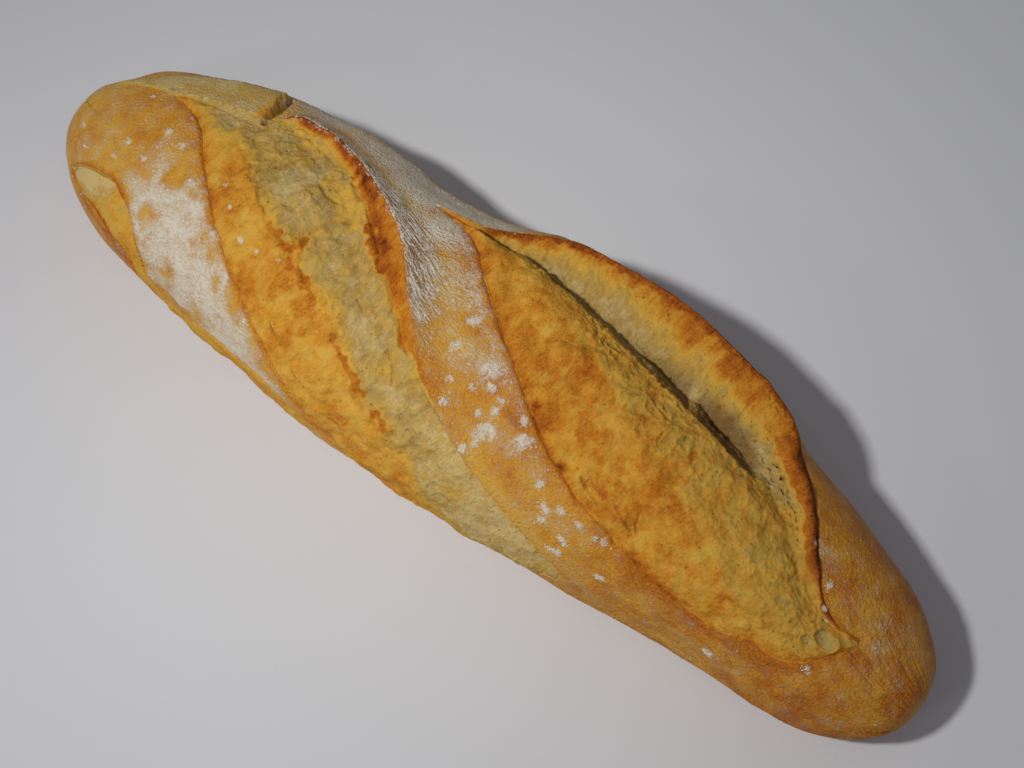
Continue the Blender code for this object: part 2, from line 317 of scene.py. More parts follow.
class Slash:
    def __init__(self, start, end, slant, back, dome, tear=0.7, **lines):
        self.start, self.end, self.back, self.dome = start, end, back, dome
        self.slant = math.radians(slant)  # its direction on the unrolled crust
        for name in LINES:
            setattr(self, name, smooth_line(*lines.get(name, [(start, 0), (end, 0)])))
        self.torn_near = ragged(self.near, 31, tear)

    def fade(self, along):
        return between(along, self.start, 5, self.end, 8)

    def wall(self, along, down):
        """The height below the crest, at shares of the way down to the foot."""
        ear, roll = self.ear(along), self.roll(along)
        lip = ear * (1 - roll)
        rolled = ear * roll * np.sin(np.pi * np.clip(down / 0.6, 0, 1))
        fall = 0.45 * ease(down) + 0.55 * (1 - (1 - down) ** 1.5)
        return lip + rolled - (lip + self.depth(along)) * fall

    def relief(self, along, degrees, per_degree):
        """The height added at each place, and 1 inside the slash or 0 on the crust."""
        far, foot, near, depth = self.far(along), self.foot(along), self.torn_near(along), self.depth(along)
        straight = across_edge(self.near, along, per_degree)
        gape = ease((near - far) * straight / 6)
        drop = self.drop(along) * gape * STEP_SHARE
        behind = np.clip((far - degrees) * across_edge(self.far, along, per_degree) / self.back, 0, 1)
        back = self.ear(along) * (1 - self.roll(along)) * (1 - behind) ** 1.6
        wall = self.wall(along, np.clip((degrees - far) / np.maximum(foot - far, 0.01), 0, 1))
        t = np.clip((degrees - foot) / np.maximum(near - foot, 0.01), 0, 1)
        rise = 1 - np.clip(1 - t / 0.55, 0, 1) ** 2
        crumb = -depth + (depth - drop) * rise + self.dome * gape * np.sin(np.pi * t)
        outside = (degrees - near) * straight
        curled = CURL * gape * np.clip(1 - np.abs(outside - EDGE_WIDTH) / (3 * EDGE_WIDTH), 0, 1)
        crust = curled - drop * (1 - ease(outside / EDGE_WIDTH))
        height = np.select([degrees > near, degrees < far, degrees < foot], [crust, back, wall], crumb)
        inside = (degrees > far) & (degrees < near)
        return height * self.fade(along), inside * gape * self.fade(along)


print("mm for each degree across a slanting edge:", across_edge(lambda along: along, 0, 0.7).round(2))

# %% [markdown]
# The three slashes differ only in their lines. The first is narrow and low on the left end, the second lies
# over the left half, and the third, the longest, has an ear that rolls over towards the right end.

# %% The end slash
END_SLASH = Slash(
    start=-147, end=-26, slant=24, back=9, dome=0.5, tear=0.4,
    far=[
        (-146, 155), (-138, 137.5), (-130, 131), (-122, 129), (-114, 133.5), (-106, 147), (-98, 167),
        (-90, 178), (-80, 176), (-68, 174), (-52, 174.5), (-38, 178), (-28, 187),
    ],
    foot=[
        (-146, 155.5), (-138, 140.5), (-130, 135), (-122, 133), (-114, 137.5), (-106, 151), (-98, 170),
        (-90, 181), (-80, 178), (-68, 176), (-52, 176.5), (-38, 180), (-28, 187.5),
    ],
    near=[
        (-146, 156), (-142, 151), (-138, 153.8), (-130, 159.6), (-118, 164.3), (-110, 171.4), (-104, 182),
        (-96, 196), (-85, 208), (-60, 212), (-40, 204), (-28, 190),
    ],
    ear=[(-146, 0.2), (-125, 1.0), (-100, 0.8), (-90, 0.3), (-28, 0.3)],
    depth=[
        (-146, 0), (-135, 1.3), (-120, 2.0), (-105, 1.5), (-90, 0.3), (-78, -0.9), (-50, -0.9), (-28, 0),
    ],
    drop=[(-146, 0.2), (-130, 1.2), (-105, 0.8), (-85, 0), (-28, 0)],
)
print("depth of the end slash, mm:", END_SLASH.depth(-120).round(1))

# %% The left slash
LEFT_SLASH = Slash(
    start=-127, end=60, slant=24, back=9, dome=1.2,
    far=[
        (-124, 73.5), (-114, 71), (-103, 69), (-97, 66.5), (-92, 62.5), (-86, 57.8), (-78, 58.2),
        (-70, 60.5), (-60, 65.5), (-49, 73.3), (-38, 81.3), (-28, 90), (-15, 104.5), (3, 124), (22, 140),
        (45, 158.5), (58, 171),
    ],
    foot=[
        (-124, 74.5), (-114, 72.5), (-103, 71.5), (-95, 70.5), (-86, 64), (-75, 65.5), (-67, 69),
        (-60, 73.5), (-50, 82), (-37, 94), (-20, 107), (3, 127.5), (22, 142.5), (45, 160), (58, 172),
    ],
    near=[
        (-124, 76), (-114, 81.9), (-106, 89), (-100, 95.9), (-90, 107.6), (-80, 119.5), (-65, 136.1),
        (-50, 153.5), (-40, 166), (-30, 177), (-15, 194), (0, 205), (25, 206), (45, 196), (58, 178),
    ],
    ear=[
        (-124, 0.3), (-114, 0.6), (-98, 0.9), (-95.5, 0), (-93, -0.4), (-90, 1.6), (-84, 2.8), (-70, 3.1),
        (-40, 2.6), (-10, 2.0), (34, 0.8), (58, 0),
    ],
    depth=[
        (-124, 0.1), (-110, 0.2), (-100, 0.5), (-92, 1.8), (-80, 3.2), (-40, 2.8), (0, 2.0), (34, 1.0),
        (58, 0),
    ],
    drop=[(-124, 0.3), (-105, 1.2), (-80, 1.8), (-40, 1.5), (-15, 0.8), (0, 0.2), (15, 0), (58, 0)],
)
print("depth of the left slash, mm:", LEFT_SLASH.depth(-80).round(1))

# %% The right slash
RIGHT_SLASH = Slash(
    start=-37, end=139, slant=19, back=24, dome=1.4,
    far=[
        (-34, 59), (-25, 59), (-20, 58), (-15, 54.2), (-10, 50), (-5, 46), (0, 43), (10, 41.8), (20, 40.5),
        (40, 38.5), (60, 39), (75, 38), (85, 38.5), (90, 40.5), (95, 45), (100, 53.5), (105, 63.5),
        (110, 74.5), (115, 85.5), (120, 92.5), (125, 98.5), (130, 101), (139, 97),
    ],
    foot=[
        (-34, 60), (-25, 61.4), (-20, 60.4), (-10, 58), (0, 56.1), (20, 55.8), (40, 55.5), (60, 56.5),
        (70, 58), (80, 61.5), (90, 69.5), (100, 79), (110, 91), (118, 98), (124, 102), (130, 104), (139, 99),
    ],
    near=[
        (-34, 61), (-25, 63.5), (-15, 71), (-5, 82.5), (14, 95.5), (35, 114), (54, 128), (71, 137.5),
        (86, 144), (103, 148), (112, 140), (121, 139), (127, 133), (132, 118), (136, 107), (139, 100),
    ],
    ear=[
        (-34, 0.2), (-20, 1.2), (-10, 1.6), (0, 2.2), (5, 3.9), (10, 5.0), (20, 6.2), (30, 7.4), (40, 8.3),
        (50, 8.7), (60, 8.3), (70, 7.3), (80, 6.1), (90, 3.8), (97, 2.8), (109, 2.2), (118, 1.4),
        (124, 0.6), (130, 0.1), (139, 0),
    ],
    depth=[
        (-34, 0.3), (-20, 2.0), (0, 5.5), (20, 7.5), (45, 9.0), (70, 9.0), (80, 7.5), (90, 5.0), (103, 2.5),
        (121, 1.0), (139, 0),
    ],
    drop=[(-34, 0.3), (-15, 1.5), (20, 2.0), (60, 1.6), (90, 1.2), (115, 0.8), (128, 0.4), (139, 0.2)],
    roll=[(-34, 0), (84, 0), (98, 0.85), (118, 0.9), (139, 0.5)],
)

SLASHES = (END_SLASH, LEFT_SLASH, RIGHT_SLASH)
for name, slash in zip(("end", "left", "right"), SLASHES):
    print(name, "slash runs", slash.end - slash.start, "mm along the loaf")

# %% [markdown]
# ## The loaf's own relief
# These are the heights that the solid has too: a hollow in each flank, the slashes, a few bubbles and soft
# lumps. Adding them along the outward normal keeps every crust detail at its place, however finely the grid
# is divided.

# %% Relief shared with the solid
FAR_HOLLOW = smooth_line(
    (-160, 2.0), (-152, 2.8), (-142, 0), (-75, 0), (-55, 3.0), (-42, 5.6), (-28, 6.0), (-14, 4.0), (0, 0.5),
    (8, 0), (82, 0), (96, 1.6), (112, 1.6), (128, 1.2), (145, 0), (160, -0.5),
)
NEAR_HOLLOW = smooth_line(
    (-160, 0), (-148, 1.0), (-125, 0.6), (-90, 1.0), (-60, 1.0), (-40, 0), (60, 0), (82, 1.2), (97, 2.2),
    (110, 1.5), (122, -0.3), (136, -1.3), (150, -0.6), (160, 0),
)
BUBBLES = (
    (125.3, 118.5, 2.2, -0.7), (129.0, 112, 3.6, -1.1), (133.2, 105.8, 1.7, -0.5),
    (109.4, 132.5, 1.9, 1.1), (112.4, 126.8, 1.7, 0.9),
)
BODY_LUMPS = ((34, 0.7), (14, 0.35))
CRUMB_LUMPS = ((9, 0.8), (4.5, 0.5))


def main_relief(s, degrees, points):
    """Height over the plain loaf, in millimetres."""
    along = s * LENGTH / 2
    half_width, _, widest, top, _ = girth_sizes(s)
    per_degree = np.radians((half_width + top - widest) / 2)
    height = -FAR_HOLLOW(along) * until(degrees, 85, 50) * beyond(degrees, -60, 60)
    height = height - NEAR_HOLLOW(along) * beyond(degrees, 110, 60) * until(degrees, 250, 40)
    crumb = 0
    for slash in SLASHES:
        slash_height, inside = slash.relief(along, degrees, per_degree)
        height = height + slash_height
        crumb = crumb + inside
    for at, turn, radius, bubble_height in BUBBLES:
        away = np.hypot(along - at, (degrees - turn) * per_degree) / radius
        height = height + bubble_height * np.clip(1 - away**2, 0, 1) ** 0.7
    for number, (size, bump) in enumerate(BODY_LUMPS):
        height = height + bump * lumps(points, size, number + 1)
    for number, (size, bump) in enumerate(CRUMB_LUMPS):
        height = height + crumb * bump * lumps(points, size, number + 3)
    return height


def shown(s, degrees):
    """1 over the crust that shows, 0 on the underside and at the very tips."""
    return between(degrees, -75, 40, 255, 40) * ease((1 - np.abs(s)) / TIP_SHARE)


def place_on_loaf(s, degrees, points, height):
    return points + body_normals(s, degrees) * (height * shown(s, degrees))[..., None]


print("depth of the far flank's hollow, mm:", FAR_HOLLOW(-28).round(1))

# %% [markdown]
# ## Torn places
# Baking leaves cracks, creases and torn lips at places that no rule gives. Each one is a short line of
# (along, round) points with a width and a depth, cut into the crust or the crumb.
# A positive height makes a raised crease instead.

# %% Places and distances on the crust
MM_PER_DEGREE = 0.72  # round the fullest part of the loaf


class Places:
    """All points of one piece: where they lie on the loaf, and on the crust unrolled along a slash."""

    def __init__(self, slash, along, degrees):
        self.slash = slash
        self.along, self.degrees = np.broadcast_arrays(along, degrees)
        self.s = self.along / (LENGTH / 2)
        self.points = body_points(self.s, self.degrees)
        self.w = self.degrees * MM_PER_DEGREE
        self.p = self.along * math.cos(slash.slant) + self.w * math.sin(slash.slant)
        self.q = self.w * math.cos(slash.slant) - self.along * math.sin(slash.slant)

    def past(self, line):
        """Millimetres round the loaf past a line, towards the near side."""
        return (self.degrees - line(self.along)) * MM_PER_DEGREE

    def from_place(self, along, turn):
        """Millimetres from one place."""
        return np.hypot(self.along - along, (self.degrees - turn) * MM_PER_DEGREE)

    def from_line(self, line):
        """Millimetres from the nearest of a line's (along, round) points and the stretches between them."""
        nearest = np.full(self.w.shape, 1e3)
        for (a0, d0), (a1, d1) in zip(line, line[1:]):
            du, dw = a1 - a0, (d1 - d0) * MM_PER_DEGREE
            u, w = self.along - a0, self.w - d0 * MM_PER_DEGREE
            t = np.clip((u * du + w * dw) / (du * du + dw * dw), 0, 1)
            nearest = np.minimum(nearest, np.hypot(u - t * du, w - t * dw))
        return nearest

    def spot(self, along, turn, long, wide):
        """1 at a place, fading to 0 at long millimetres along and wide degrees round from it."""
        return ease(1 - np.hypot((self.along - along) / long, (self.degrees - turn) / wide))

    def soft(self, size, seed, long=1.0, wide=1.0):
        """Soft noise on the unrolled crust, which may be stretched along the slash or across it."""
        return lumps(flat(self.p, self.q, long, wide), size, seed)

    def plain(self, size, seed):
        """Soft noise on the crust, unrolled along the loaf itself."""
        return lumps(flat(self.along, self.w), size, seed)

    def bulk(self, size, seed):
        """Soft noise in the loaf's own space."""
        return lumps(self.points, size, seed)


print("from the top to the near side, mm:", Places(LEFT_SLASH, 0, 90).from_place(0, 180).round(1))

# %% Cracks and creases
CRACKS = (
    # (points, width, height, shade), in the left opening
    ([(-83, 90), (-81.7, 87), (-79.1, 82.5), (-76.5, 76), (-73, 69)], 0.7, -0.9, 0.45),
    ([(-66, 81), (-62, 84), (-58, 84)], 0.9, -0.7, 0.32),
    ([(-56.4, 98), (-55, 94), (-53, 90), (-50, 87)], 0.7, -0.9, 0.3),
    ([(-50.8, 138), (-48, 142), (-45, 145)], 0.6, -1.0, 0.7),
    ([(-38.3, 153), (-35.3, 156), (-32.4, 157)], 0.5, -0.8, 0.6),
    ([(-24.5, 162), (-20.5, 164), (-15.5, 164)], 0.5, -0.8, 0.6),
    ([(-33, 108), (-28, 112), (-25, 112)], 0.6, -0.7, 0.2),
    ([(-16, 118), (-11, 124), (-9, 130)], 0.6, -0.7, 0.2),
    # In the right opening
    ([(50.8, 119), (53.6, 122), (58.3, 124.5)], 0.7, -0.9, 0.38),
    ([(51.2, 116.8), (54.4, 119.6), (59, 122)], 1.0, 0.5, 0),
    ([(63, 121), (66.6, 124), (70.3, 127)], 0.6, -0.8, 0.30),
    ([(69.4, 118), (70.3, 123), (72.1, 127)], 0.5, -0.7, 0.25),
    ([(97, 128), (103.7, 124), (106, 127)], 0.9, 0.4, 0),
    # On the crust
    ([(19.5, 163), (21.5, 164), (23.5, 164)], 0.5, -0.8, 0.6),
    ([(-95.3, 67), (-95.2, 57), (-96.2, 48), (-97.5, 38)], 1.5, -1.5, 0.66),
    ([(-158, 95), (-155, 96)], 1.4, -1.0, 0.3),
    ([(-155, 96), (-146.9, 100), (-138.8, 103), (-133.6, 107), (-128.4, 112)], 1.4, -0.35, 0),
)
DOTS = (
    # (along, round, radius, height), the holes along the crease of the tongue of crust
    (-128.4, 71, 0.9, -0.7), (-123.4, 72.2, 0.7, -0.6), (-119.5, 71.2, 0.5, -0.5), (-117.2, 70.8, 0.7, -0.6),
    (-114, 70.2, 0.6, -0.5), (-111.3, 69.8, 0.5, -0.5), (-109.3, 69.6, 0.7, -0.6), (-105.3, 68.6, 0.7, -0.6),
    (-101.4, 67.4, 0.6, -0.5), (-126, 69, 0.5, -0.5), (-135, 61, 0.8, -0.6), (-141, 147, 0.9, -0.8),
    # Burst cells in the torn wall of the right opening
    (91.0, 58, 0.9, -1.0), (94.3, 62, 0.9, -1.0), (96.7, 68, 0.8, -0.9), (98, 66, 0.6, -0.8),
    (99.1, 69, 0.7, -0.9), (88.5, 71, 0.8, -0.9), (89.4, 67, 0.6, -0.8), (93.5, 72, 0.6, -0.8),
    (90.2, 62, 0.7, -0.8), (84.3, 69, 0.9, -1.0), (81.7, 54, 0.7, -0.7), (80.9, 51, 0.5, -0.6),
    (87.5, 60, 0.5, -0.7), (86, 64, 0.6, -0.8), (78.3, 50, 0.5, -0.6), (100.2, 71.5, 0.6, -0.8),
    (101.5, 72.7, 0.5, -0.8), (102.8, 74, 0.6, -0.8), (102.4, 76.5, 0.5, -0.8), (104.6, 77, 0.6, -0.8),
    (104.6, 79.5, 0.5, -0.7), (106.2, 80, 0.5, -0.8), (108, 84, 0.5, -0.7),
)


def crack_relief(at):
    """Height of all the cracks and dots, and the painted shade inside them, from 0 to 1."""
    shift = 0.35 * at.plain(2.2, 41)
    height, dark = 0, 0
    for line, width, rise, shade in CRACKS:
        shape = ease(1 - (at.from_line(line) + shift) / width)
        height = height + rise * shape
        dark = np.maximum(dark, shade * shape)
    for place, turn, radius, rise in DOTS:
        shape = ease(1.2 - at.from_place(place, turn) / radius)
        height = height + rise * shape
        dark = np.maximum(dark, -0.8 * rise * shape)
    return height, dark


print(len(CRACKS), "cracks and creases,", len(DOTS), "small holes")

# %% [markdown]
# ## The crumb
# Where a slash opened late, the crumb is pale, fibrous and full of burst gas cells, and its fibres run
# across the slash, the way the dough was pulled. Where it opened early it had time to bake to a golden
# skin. The border between the two is a ragged ridge. The crumb is made as three wedges, one for each slash.
# Their grids follow the slash, so that the crest of an ear is a clean row of points and not a row of teeth.
# A number from 0 to 1 at each point says how far it has browned, and the material turns it into a colour.
# The small numbers in these functions are shares of that kind and sizes in millimetres, matched one by one.

# %% Fibres, burst cells and flakes
def fibres(at, seed, width, length):
    """Thin ridges that run across the slash, wander and fray, from about -1 to 1."""
    bend_p = 2.0 * at.soft(6.0, seed) + 0.6 * at.soft(1.8, seed + 1)
    bend_q = 1.6 * at.soft(4.0, seed + 2)
    ridge = 1 - 2.2 * np.abs(lumps(flat(at.p + bend_p, at.q + bend_q, width, length), 1.0, seed + 3))
    finer = 1 - 2.2 * np.abs(lumps(flat(at.p + bend_p, at.q, 0.6 * width, 0.45 * length), 1.0, seed + 4))
    return 0.65 * ridge + 0.35 * finer


def membranes(at, size, seed, stretch):
    """Thin torn walls between gas cells, from 0 to 1, and the soft hollows that they frame."""
    bend_p = 0.7 * size * at.soft(size * 1.5, seed + 5)
    bend_q = 1.0 * size * at.soft(size * 1.3, seed + 6)
    nearest, second = bubbles(at.p + bend_p, (at.q + bend_q) / stretch, size, seed)
    wall = np.clip(1 - (second - nearest) / 0.26, 0, 1) ** 1.5
    return wall, ease(1 - nearest / 0.8)


def flakes(at, size, seed):
    """Torn flakes that overlap like scales: each rises slowly to its free edge and ends there in a step."""
    bend_p = 0.55 * size * at.soft(size * 1.2, seed + 5)
    bend_q = 0.55 * size * at.soft(size * 1.1, seed + 6)
    place = flat(at.p + bend_p, at.q + bend_q, size, 1.25 * size)
    nearest = np.full(place.shape[:-1], 9.0)
    height = np.zeros(nearest.shape)
    for corner, x, y in random_spots(place, seed):
        away = np.hypot(x, y)
        own = 0.55 * cell_value(corner, seed + 2) - 1.1 * y * ease(0.6 + cell_value(corner, seed + 3))
        height = np.where(away < nearest, own, height)
        nearest = np.minimum(nearest, away)
    return height


def to_crest(at, rim_line):
    """0 at the lower border of a browned rim, 1 at the ear's crest."""
    width = (rim_line(at.along) - at.slash.far(at.along)) * MM_PER_DEGREE
    return np.clip(at.past_rim / np.maximum(width, 1), 0, 1)


sample = Places(LEFT_SLASH, np.linspace(-80, 20, 50)[:, None], np.linspace(80, 120, 50)[None, :])
print("highest flake:", flakes(sample, 4.2, 64).max().round(2))

# %% [markdown]
# ### The left opening
# Its upper half is torn crumb, its lower half a golden skin, and a browned rim hangs from the ear.
# Each wedge is worked out in the same order: its borders, its fine relief, its browning and its shade.

# %% Lines of the left opening
LEFT_SKIN = smooth_line(
    (-124, 75), (-110, 80.5), (-100, 84.5), (-92, 87.2), (-84, 92.2), (-76, 98.1), (-70, 102.5),
    (-64, 104.9), (-58, 108.2), (-50, 113.8), (-42, 118.8), (-34, 122.9), (-26, 129.7), (-18, 136.2),
    (-10, 144.8), (-4, 150), (10, 168), (24, 186), (40, 205),
)
LEFT_RIM = smooth_line(
    (-95, 66), (-91, 63), (-86, 61), (-80, 61), (-74.7, 62.2), (-68.5, 65.3), (-62, 69.5), (-54.6, 76),
    (-48, 81.2), (-43, 86), (-36, 92), (-32, 95.3), (-25.5, 100.3), (-21.5, 104.3), (-18.5, 107.3),
    (-13.5, 113), (-4.5, 118.5), (0.5, 122.5), (6, 126.5),
)
SCAB = [(-44, 86), (-40, 89), (-36, 91), (-32, 95)]
RIDGES = (
    # Where the skin broke off, its edge stood up and browned
    [(-67.5, 104), (-60.3, 107.5), (-57.4, 107), (-56, 102)],
    [(-56.8, 109), (-56, 113), (-50.3, 113.5), (-44.5, 117.5), (-41, 121)],
    [(-30.5, 128), (-25.3, 131), (-19.5, 135.5), (-15, 140)],
    [(-10.5, 143.5), (-6.5, 144.5), (-3, 146)],
)
YELLOW_SPOTS = (
    # (along, round, radius) where the crumb has toasted to a clear yellow
    (-57.4, 80, 3.6), (-52.7, 83, 3.6), (-47.9, 86, 3.0), (-64, 77, 2.5), (-74, 66, 2.5), (-80, 66, 2.0),
)


def left_borders(at):
    """Where the crumb is torn, where it has a golden skin and where the rim begins, each from 0 to 1."""
    at.start = until(at.along, -88, 10)
    at.tail = beyond(at.along, 2, 26)
    swing = 4.5 * lumps(flat(at.along, at.degrees * 0.4), 7.0, 51) + 1.5 * wander(at.along, 3.0, 52)
    at.past_line = at.past(LEFT_SKIN) - swing * MM_PER_DEGREE + 1.1 * at.soft(2.2, 53)
    at.skin = ease(at.past_line / (5.5 + 4 * at.start) + 0.5) * (1 - at.tail)
    at.torn = 1 - at.skin
    at.past_rim = -at.past(LEFT_RIM) + 0.25 * wander(at.along, 5.0, 76) + 0.9 * at.soft(2.6, 56)
    at.has_rim = between(at.along, -95, 3, 8, 10)
    at.rim = ease(at.past_rim / 2.2 + 0.5) * at.has_rim


left_borders(sample)
print("torn share of a left sample:", sample.torn.mean().round(2))

# %% Fine relief of the left opening
def left_relief(at):
    """Heights of torn crumb, baked skin, rim, the ridge between them and the scab on the rim."""
    walls, hollows = membranes(at, 2.8, 61, 1.8)
    patches = ease(0.5 + 1.2 * at.soft(9, 63))
    rough = 0.24 * fibres(at, 65, 0.9, 4.5) + 0.14 * at.soft(1.5, 62) + 0.45 * at.soft(2.8, 67)
    rough = rough + patches * (0.28 * walls - 0.42 * hollows) + 0.26 * (1 - patches) * flakes(at, 4.2, 64)
    at.rough = rough * (1 - 0.45 * at.tail) * (1 - 0.3 * at.start)
    at.ribs = at.soft(1.0, 70, 2.0, 4.5)
    smooth = 0.16 * at.soft(1.3, 69) + 0.32 * at.ribs + 0.40 * at.soft(3.6, 72) + 0.3
    on_rim = 0.12 * at.soft(1.3, 71, 2.5, 1.0) + 0.2 * at.soft(3.0, 75) + 0.2
    height = (at.torn * at.rough + at.skin * smooth) * (1 - at.rim) + at.rim * on_rim
    bulge = ease(1 - np.abs(at.past(at.slash.foot) + 0.4) / 5.5)
    height = height + 1.7 * bulge * at.has_rim * (1 - at.rim)
    ridge_patch = ease(0.55 + 1.6 * at.soft(8, 73)) * (1 - at.start)
    ridge_width = 1.8 + 1.2 * ease(0.5 + 1.5 * at.soft(6, 68))
    ridge = np.clip(1.2 - np.abs(at.past_line - 0.4 * ridge_width) / ridge_width, 0, 1) * (1 - at.tail)
    at.ridge = ease(ridge * ease(0.8 + 0.9 * at.soft(1.7, 66)) * ridge_patch)
    at.scab = ease(1.4 - (at.from_line(SCAB) + 0.9 * at.soft(1.6, 82)) / 1.9)
    return height + 0.6 * at.ridge + 0.4 * at.scab


print("relief of the left sample, mm:", np.ptp(left_relief(sample)).round(1))

# %% Browning of the left opening
def left_rim_brown(at):
    """The rim darkens towards its crest at the upper end, and along its inner edge where it is wide."""
    crest = to_crest(at, LEFT_RIM)
    inner = ease((at.past_rim - 0.2) / 0.8) * (1 - ease((at.past_rim - 2.2) / 2.5))
    brown = 0.63 + 0.09 * at.soft(2.5, 80, 1, 2.5) + 0.15 * inner * between(at.along, -66, 10, -20, 12)
    return brown + until(at.along, -42, 16) * (0.24 * ease((crest - 0.25) / 0.35) - 0.14 * (1 - crest))


def left_browning(at):
    """Pale where it tore late, golden on the skin, brown on ridges, rim and scab."""
    on_torn = 0.13 + 0.08 * at.soft(8, 74) + 0.06 * at.soft(3.2, 60) + 0.06 * at.torn * at.rough
    on_torn = on_torn - 0.05 * at.tail - 0.06 * at.start + 0.22 * ease(at.past_line / 8 + 0.8)
    on_skin = 0.46 + 0.10 * at.soft(7, 79) + 0.09 * at.soft(2.8, 59) + 0.05 * at.ribs
    brown = toward(on_torn * at.torn + at.skin * on_skin, 0.58, 0.4 * at.ridge)
    for line in RIDGES:
        away = at.from_line(line) + 1.1 * at.soft(1.8, 54)
        brown = toward(brown, 0.68, 0.95 * ease(1.5 - away / 1.2))
    at.yellow = 0.75 * ease(at.past_rim / 3 + 1) * at.has_rim * until(at.along, -12, 10)
    for place, turn, radius in YELLOW_SPOTS:
        away = at.from_place(place, turn) + 1.2 * at.soft(2.2, 78)
        at.yellow = np.maximum(at.yellow, ease(1.6 - away / radius * 1.1))
    brown = toward(brown, 0.30, 0.9 * at.yellow)
    edge = np.clip(1 + at.past(at.slash.torn_near) / 3.0, 0, 1) * (1 - at.tail)
    brown = brown + 0.14 * ease(edge + 0.5 * edge * at.soft(2, 58))
    return np.maximum(toward(brown, left_rim_brown(at), at.rim), 0.76 * at.scab)


def left_crumb(at):
    """Height, browning, shade, drop and openness of the left wedge."""
    left_borders(at)
    height, brown = left_relief(at), left_browning(at)
    bare = at.torn * (1 - at.rim)
    # Painted shade: the low places of the bare torn crumb are darkened, and so is the torn crumb near the
    # slash's start.
    pits = np.clip(0.08 - 0.36 * at.rough, 0, 0.32)
    dark = bare * pits * (1 - 0.6 * at.tail) * (1 - 0.8 * at.yellow) + 0.08 * at.start * at.torn
    return height, brown, dark, 0, bare


print("mean browning of the left sample:", left_browning(sample).mean().round(2))

# %% [markdown]
# ### The right opening
# Behind its crumb a tall torn wall rises to the ear. Where the two meet lies a dark crevice, which a thin
# bridge of crumb crosses. A crevice is too steep for a height over the loaf, so its points also drop.

# %% Lines of the right opening
RIGHT_SKIN = smooth_line(
    (-34, 60), (-22, 62), (-10, 63.2), (0, 63.2), (10, 67.5), (20, 73), (30, 79.5), (40, 85), (50, 88.4),
    (60, 92.7), (70, 97.7), (80, 105.5), (90, 114.3), (100, 121.6), (110, 126), (125, 128), (139, 110),
)
RIGHT_RIM = smooth_line(
    (-34, 59.5), (-20, 58.2), (-10, 52.0), (0, 47.6), (10, 44.8), (20, 43.7), (30, 43.8), (40, 44.6),
    (50, 45.0), (60, 45.6), (71, 46.4), (77, 47.2), (82.6, 49.4), (89.4, 55.2), (96.7, 62.4), (100.7, 68.2),
    (105.3, 75.4), (108.2, 81.2), (112.6, 88.2), (117, 92.6), (121.5, 97.4), (124.7, 101.2), (130, 103),
)
FAINT_BOWLS = (
    # (along, round, radius, strength) of wide gas cells that burst at the surface
    (129.0, 112, 3.6, 1.0), (125.3, 118.5, 2.2, 0.9), (133.2, 105.8, 1.8, 0.7), (135.8, 102.5, 1.3, 0.6),
    (114.0, 110, 2.7, 0.5), (118.2, 106, 2.2, 0.4), (106.8, 96, 2.3, 0.4), (100.7, 101, 3.2, 0.4),
)
CREVICE = smooth_line(
    (-24, 57), (-14, 57.5), (-8, 58.5), (2, 61), (12, 63), (22, 64.5), (32, 66), (42, 68.2), (52, 70.4),
    (62, 72), (72, 73.8), (82, 75), (92, 76),
)


def right_borders(at):
    """Where wall, crumb, golden skin and browned rim begin, each from 0 to 1."""
    at.late = beyond(at.along, 80, 14)
    past_lip = -at.past(CREVICE) + 0.5 * wander(at.along, 4.0, 95) + 0.4 * wander(at.along, 1.4, 96)
    at.past_lip = past_lip + 0.4 * at.soft(1.2, 107)
    at.on_wall = ease((at.past_lip - 1.5) / (1.6 + 6 * at.late) + 0.5)
    at.on_crumb = 1 - at.on_wall
    swing = 5 * lumps(flat(at.along, at.degrees * 0.4), 9.0, 81)
    at.past_line = at.past(RIGHT_SKIN) - swing * MM_PER_DEGREE + 1.5 * at.soft(3.0, 106)
    at.skin = ease(at.past_line / 5 + 0.5)
    at.torn = (1 - at.skin) * at.on_crumb
    at.past_rim = -at.past(RIGHT_RIM) + 0.9 * at.soft(2.6, 97, 1, 1.6)
    at.rolled = between(at.along, 84, 10, 136, 10)
    at.rim = ease(at.past_rim / (2.8 - 1.9 * at.rolled) + 0.5)
    at.opened = between(at.along, -22, 16, 91, 5)
    at.bridge = ease(1.5 - np.abs(at.along - 64 + 0.3 * at.past_lip) / 1.7)


sample = Places(RIGHT_SLASH, np.linspace(-20, 100, 50)[:, None], np.linspace(60, 120, 50)[None, :])
right_borders(sample)
print("torn share of a right sample:", sample.torn.mean().round(2))

# %% Fine relief of the right opening
def right_relief(at):
    """Heights of scaly crumb, of its skin, of the fluffy wall and of the crevice's lip."""
    at.scales = flakes(at, 3.4, 83)
    near_skin = ease(1.5 - np.hypot((at.along - 44) / 40, at.past_line / 16))
    at.flaky = near_skin * ease(0.7 + 1.2 * at.soft(8, 85))
    walls, hollows = membranes(at, 2.3, 77, 1.3)
    rough = at.flaky * (0.26 * at.scales + 0.30 * walls - 0.50 * hollows) + 0.22 * fibres(at, 89, 0.9, 4.0)
    at.rough = rough + 0.32 * at.soft(2.6, 91) + 0.18 * at.soft(1.1, 92)
    smooth = 0.34 * at.soft(3.4, 110) + 0.18 * at.soft(1.3, 111) + 0.4 * at.soft(8, 84)
    smooth = smooth + 0.18 * at.flaky * at.scales - 0.22 * at.flaky * hollows
    fine_walls, at.pits = membranes(at, 1.5, 87, 1.2)
    at.fluffy = 0.42 * at.soft(2.3, 93) + 0.26 * at.soft(1.0, 94) - 0.40 * at.pits + 0.15 * fine_walls
    height = at.torn * at.rough + at.skin * at.on_crumb * smooth
    height = height + at.on_wall * at.fluffy * (1 - 0.85 * at.rolled * at.rim)
    lip = ease(-at.past_lip / 0.8) * np.clip(1 + at.past_lip / 9, 0, 1)
    return height + 0.7 * lip * at.opened


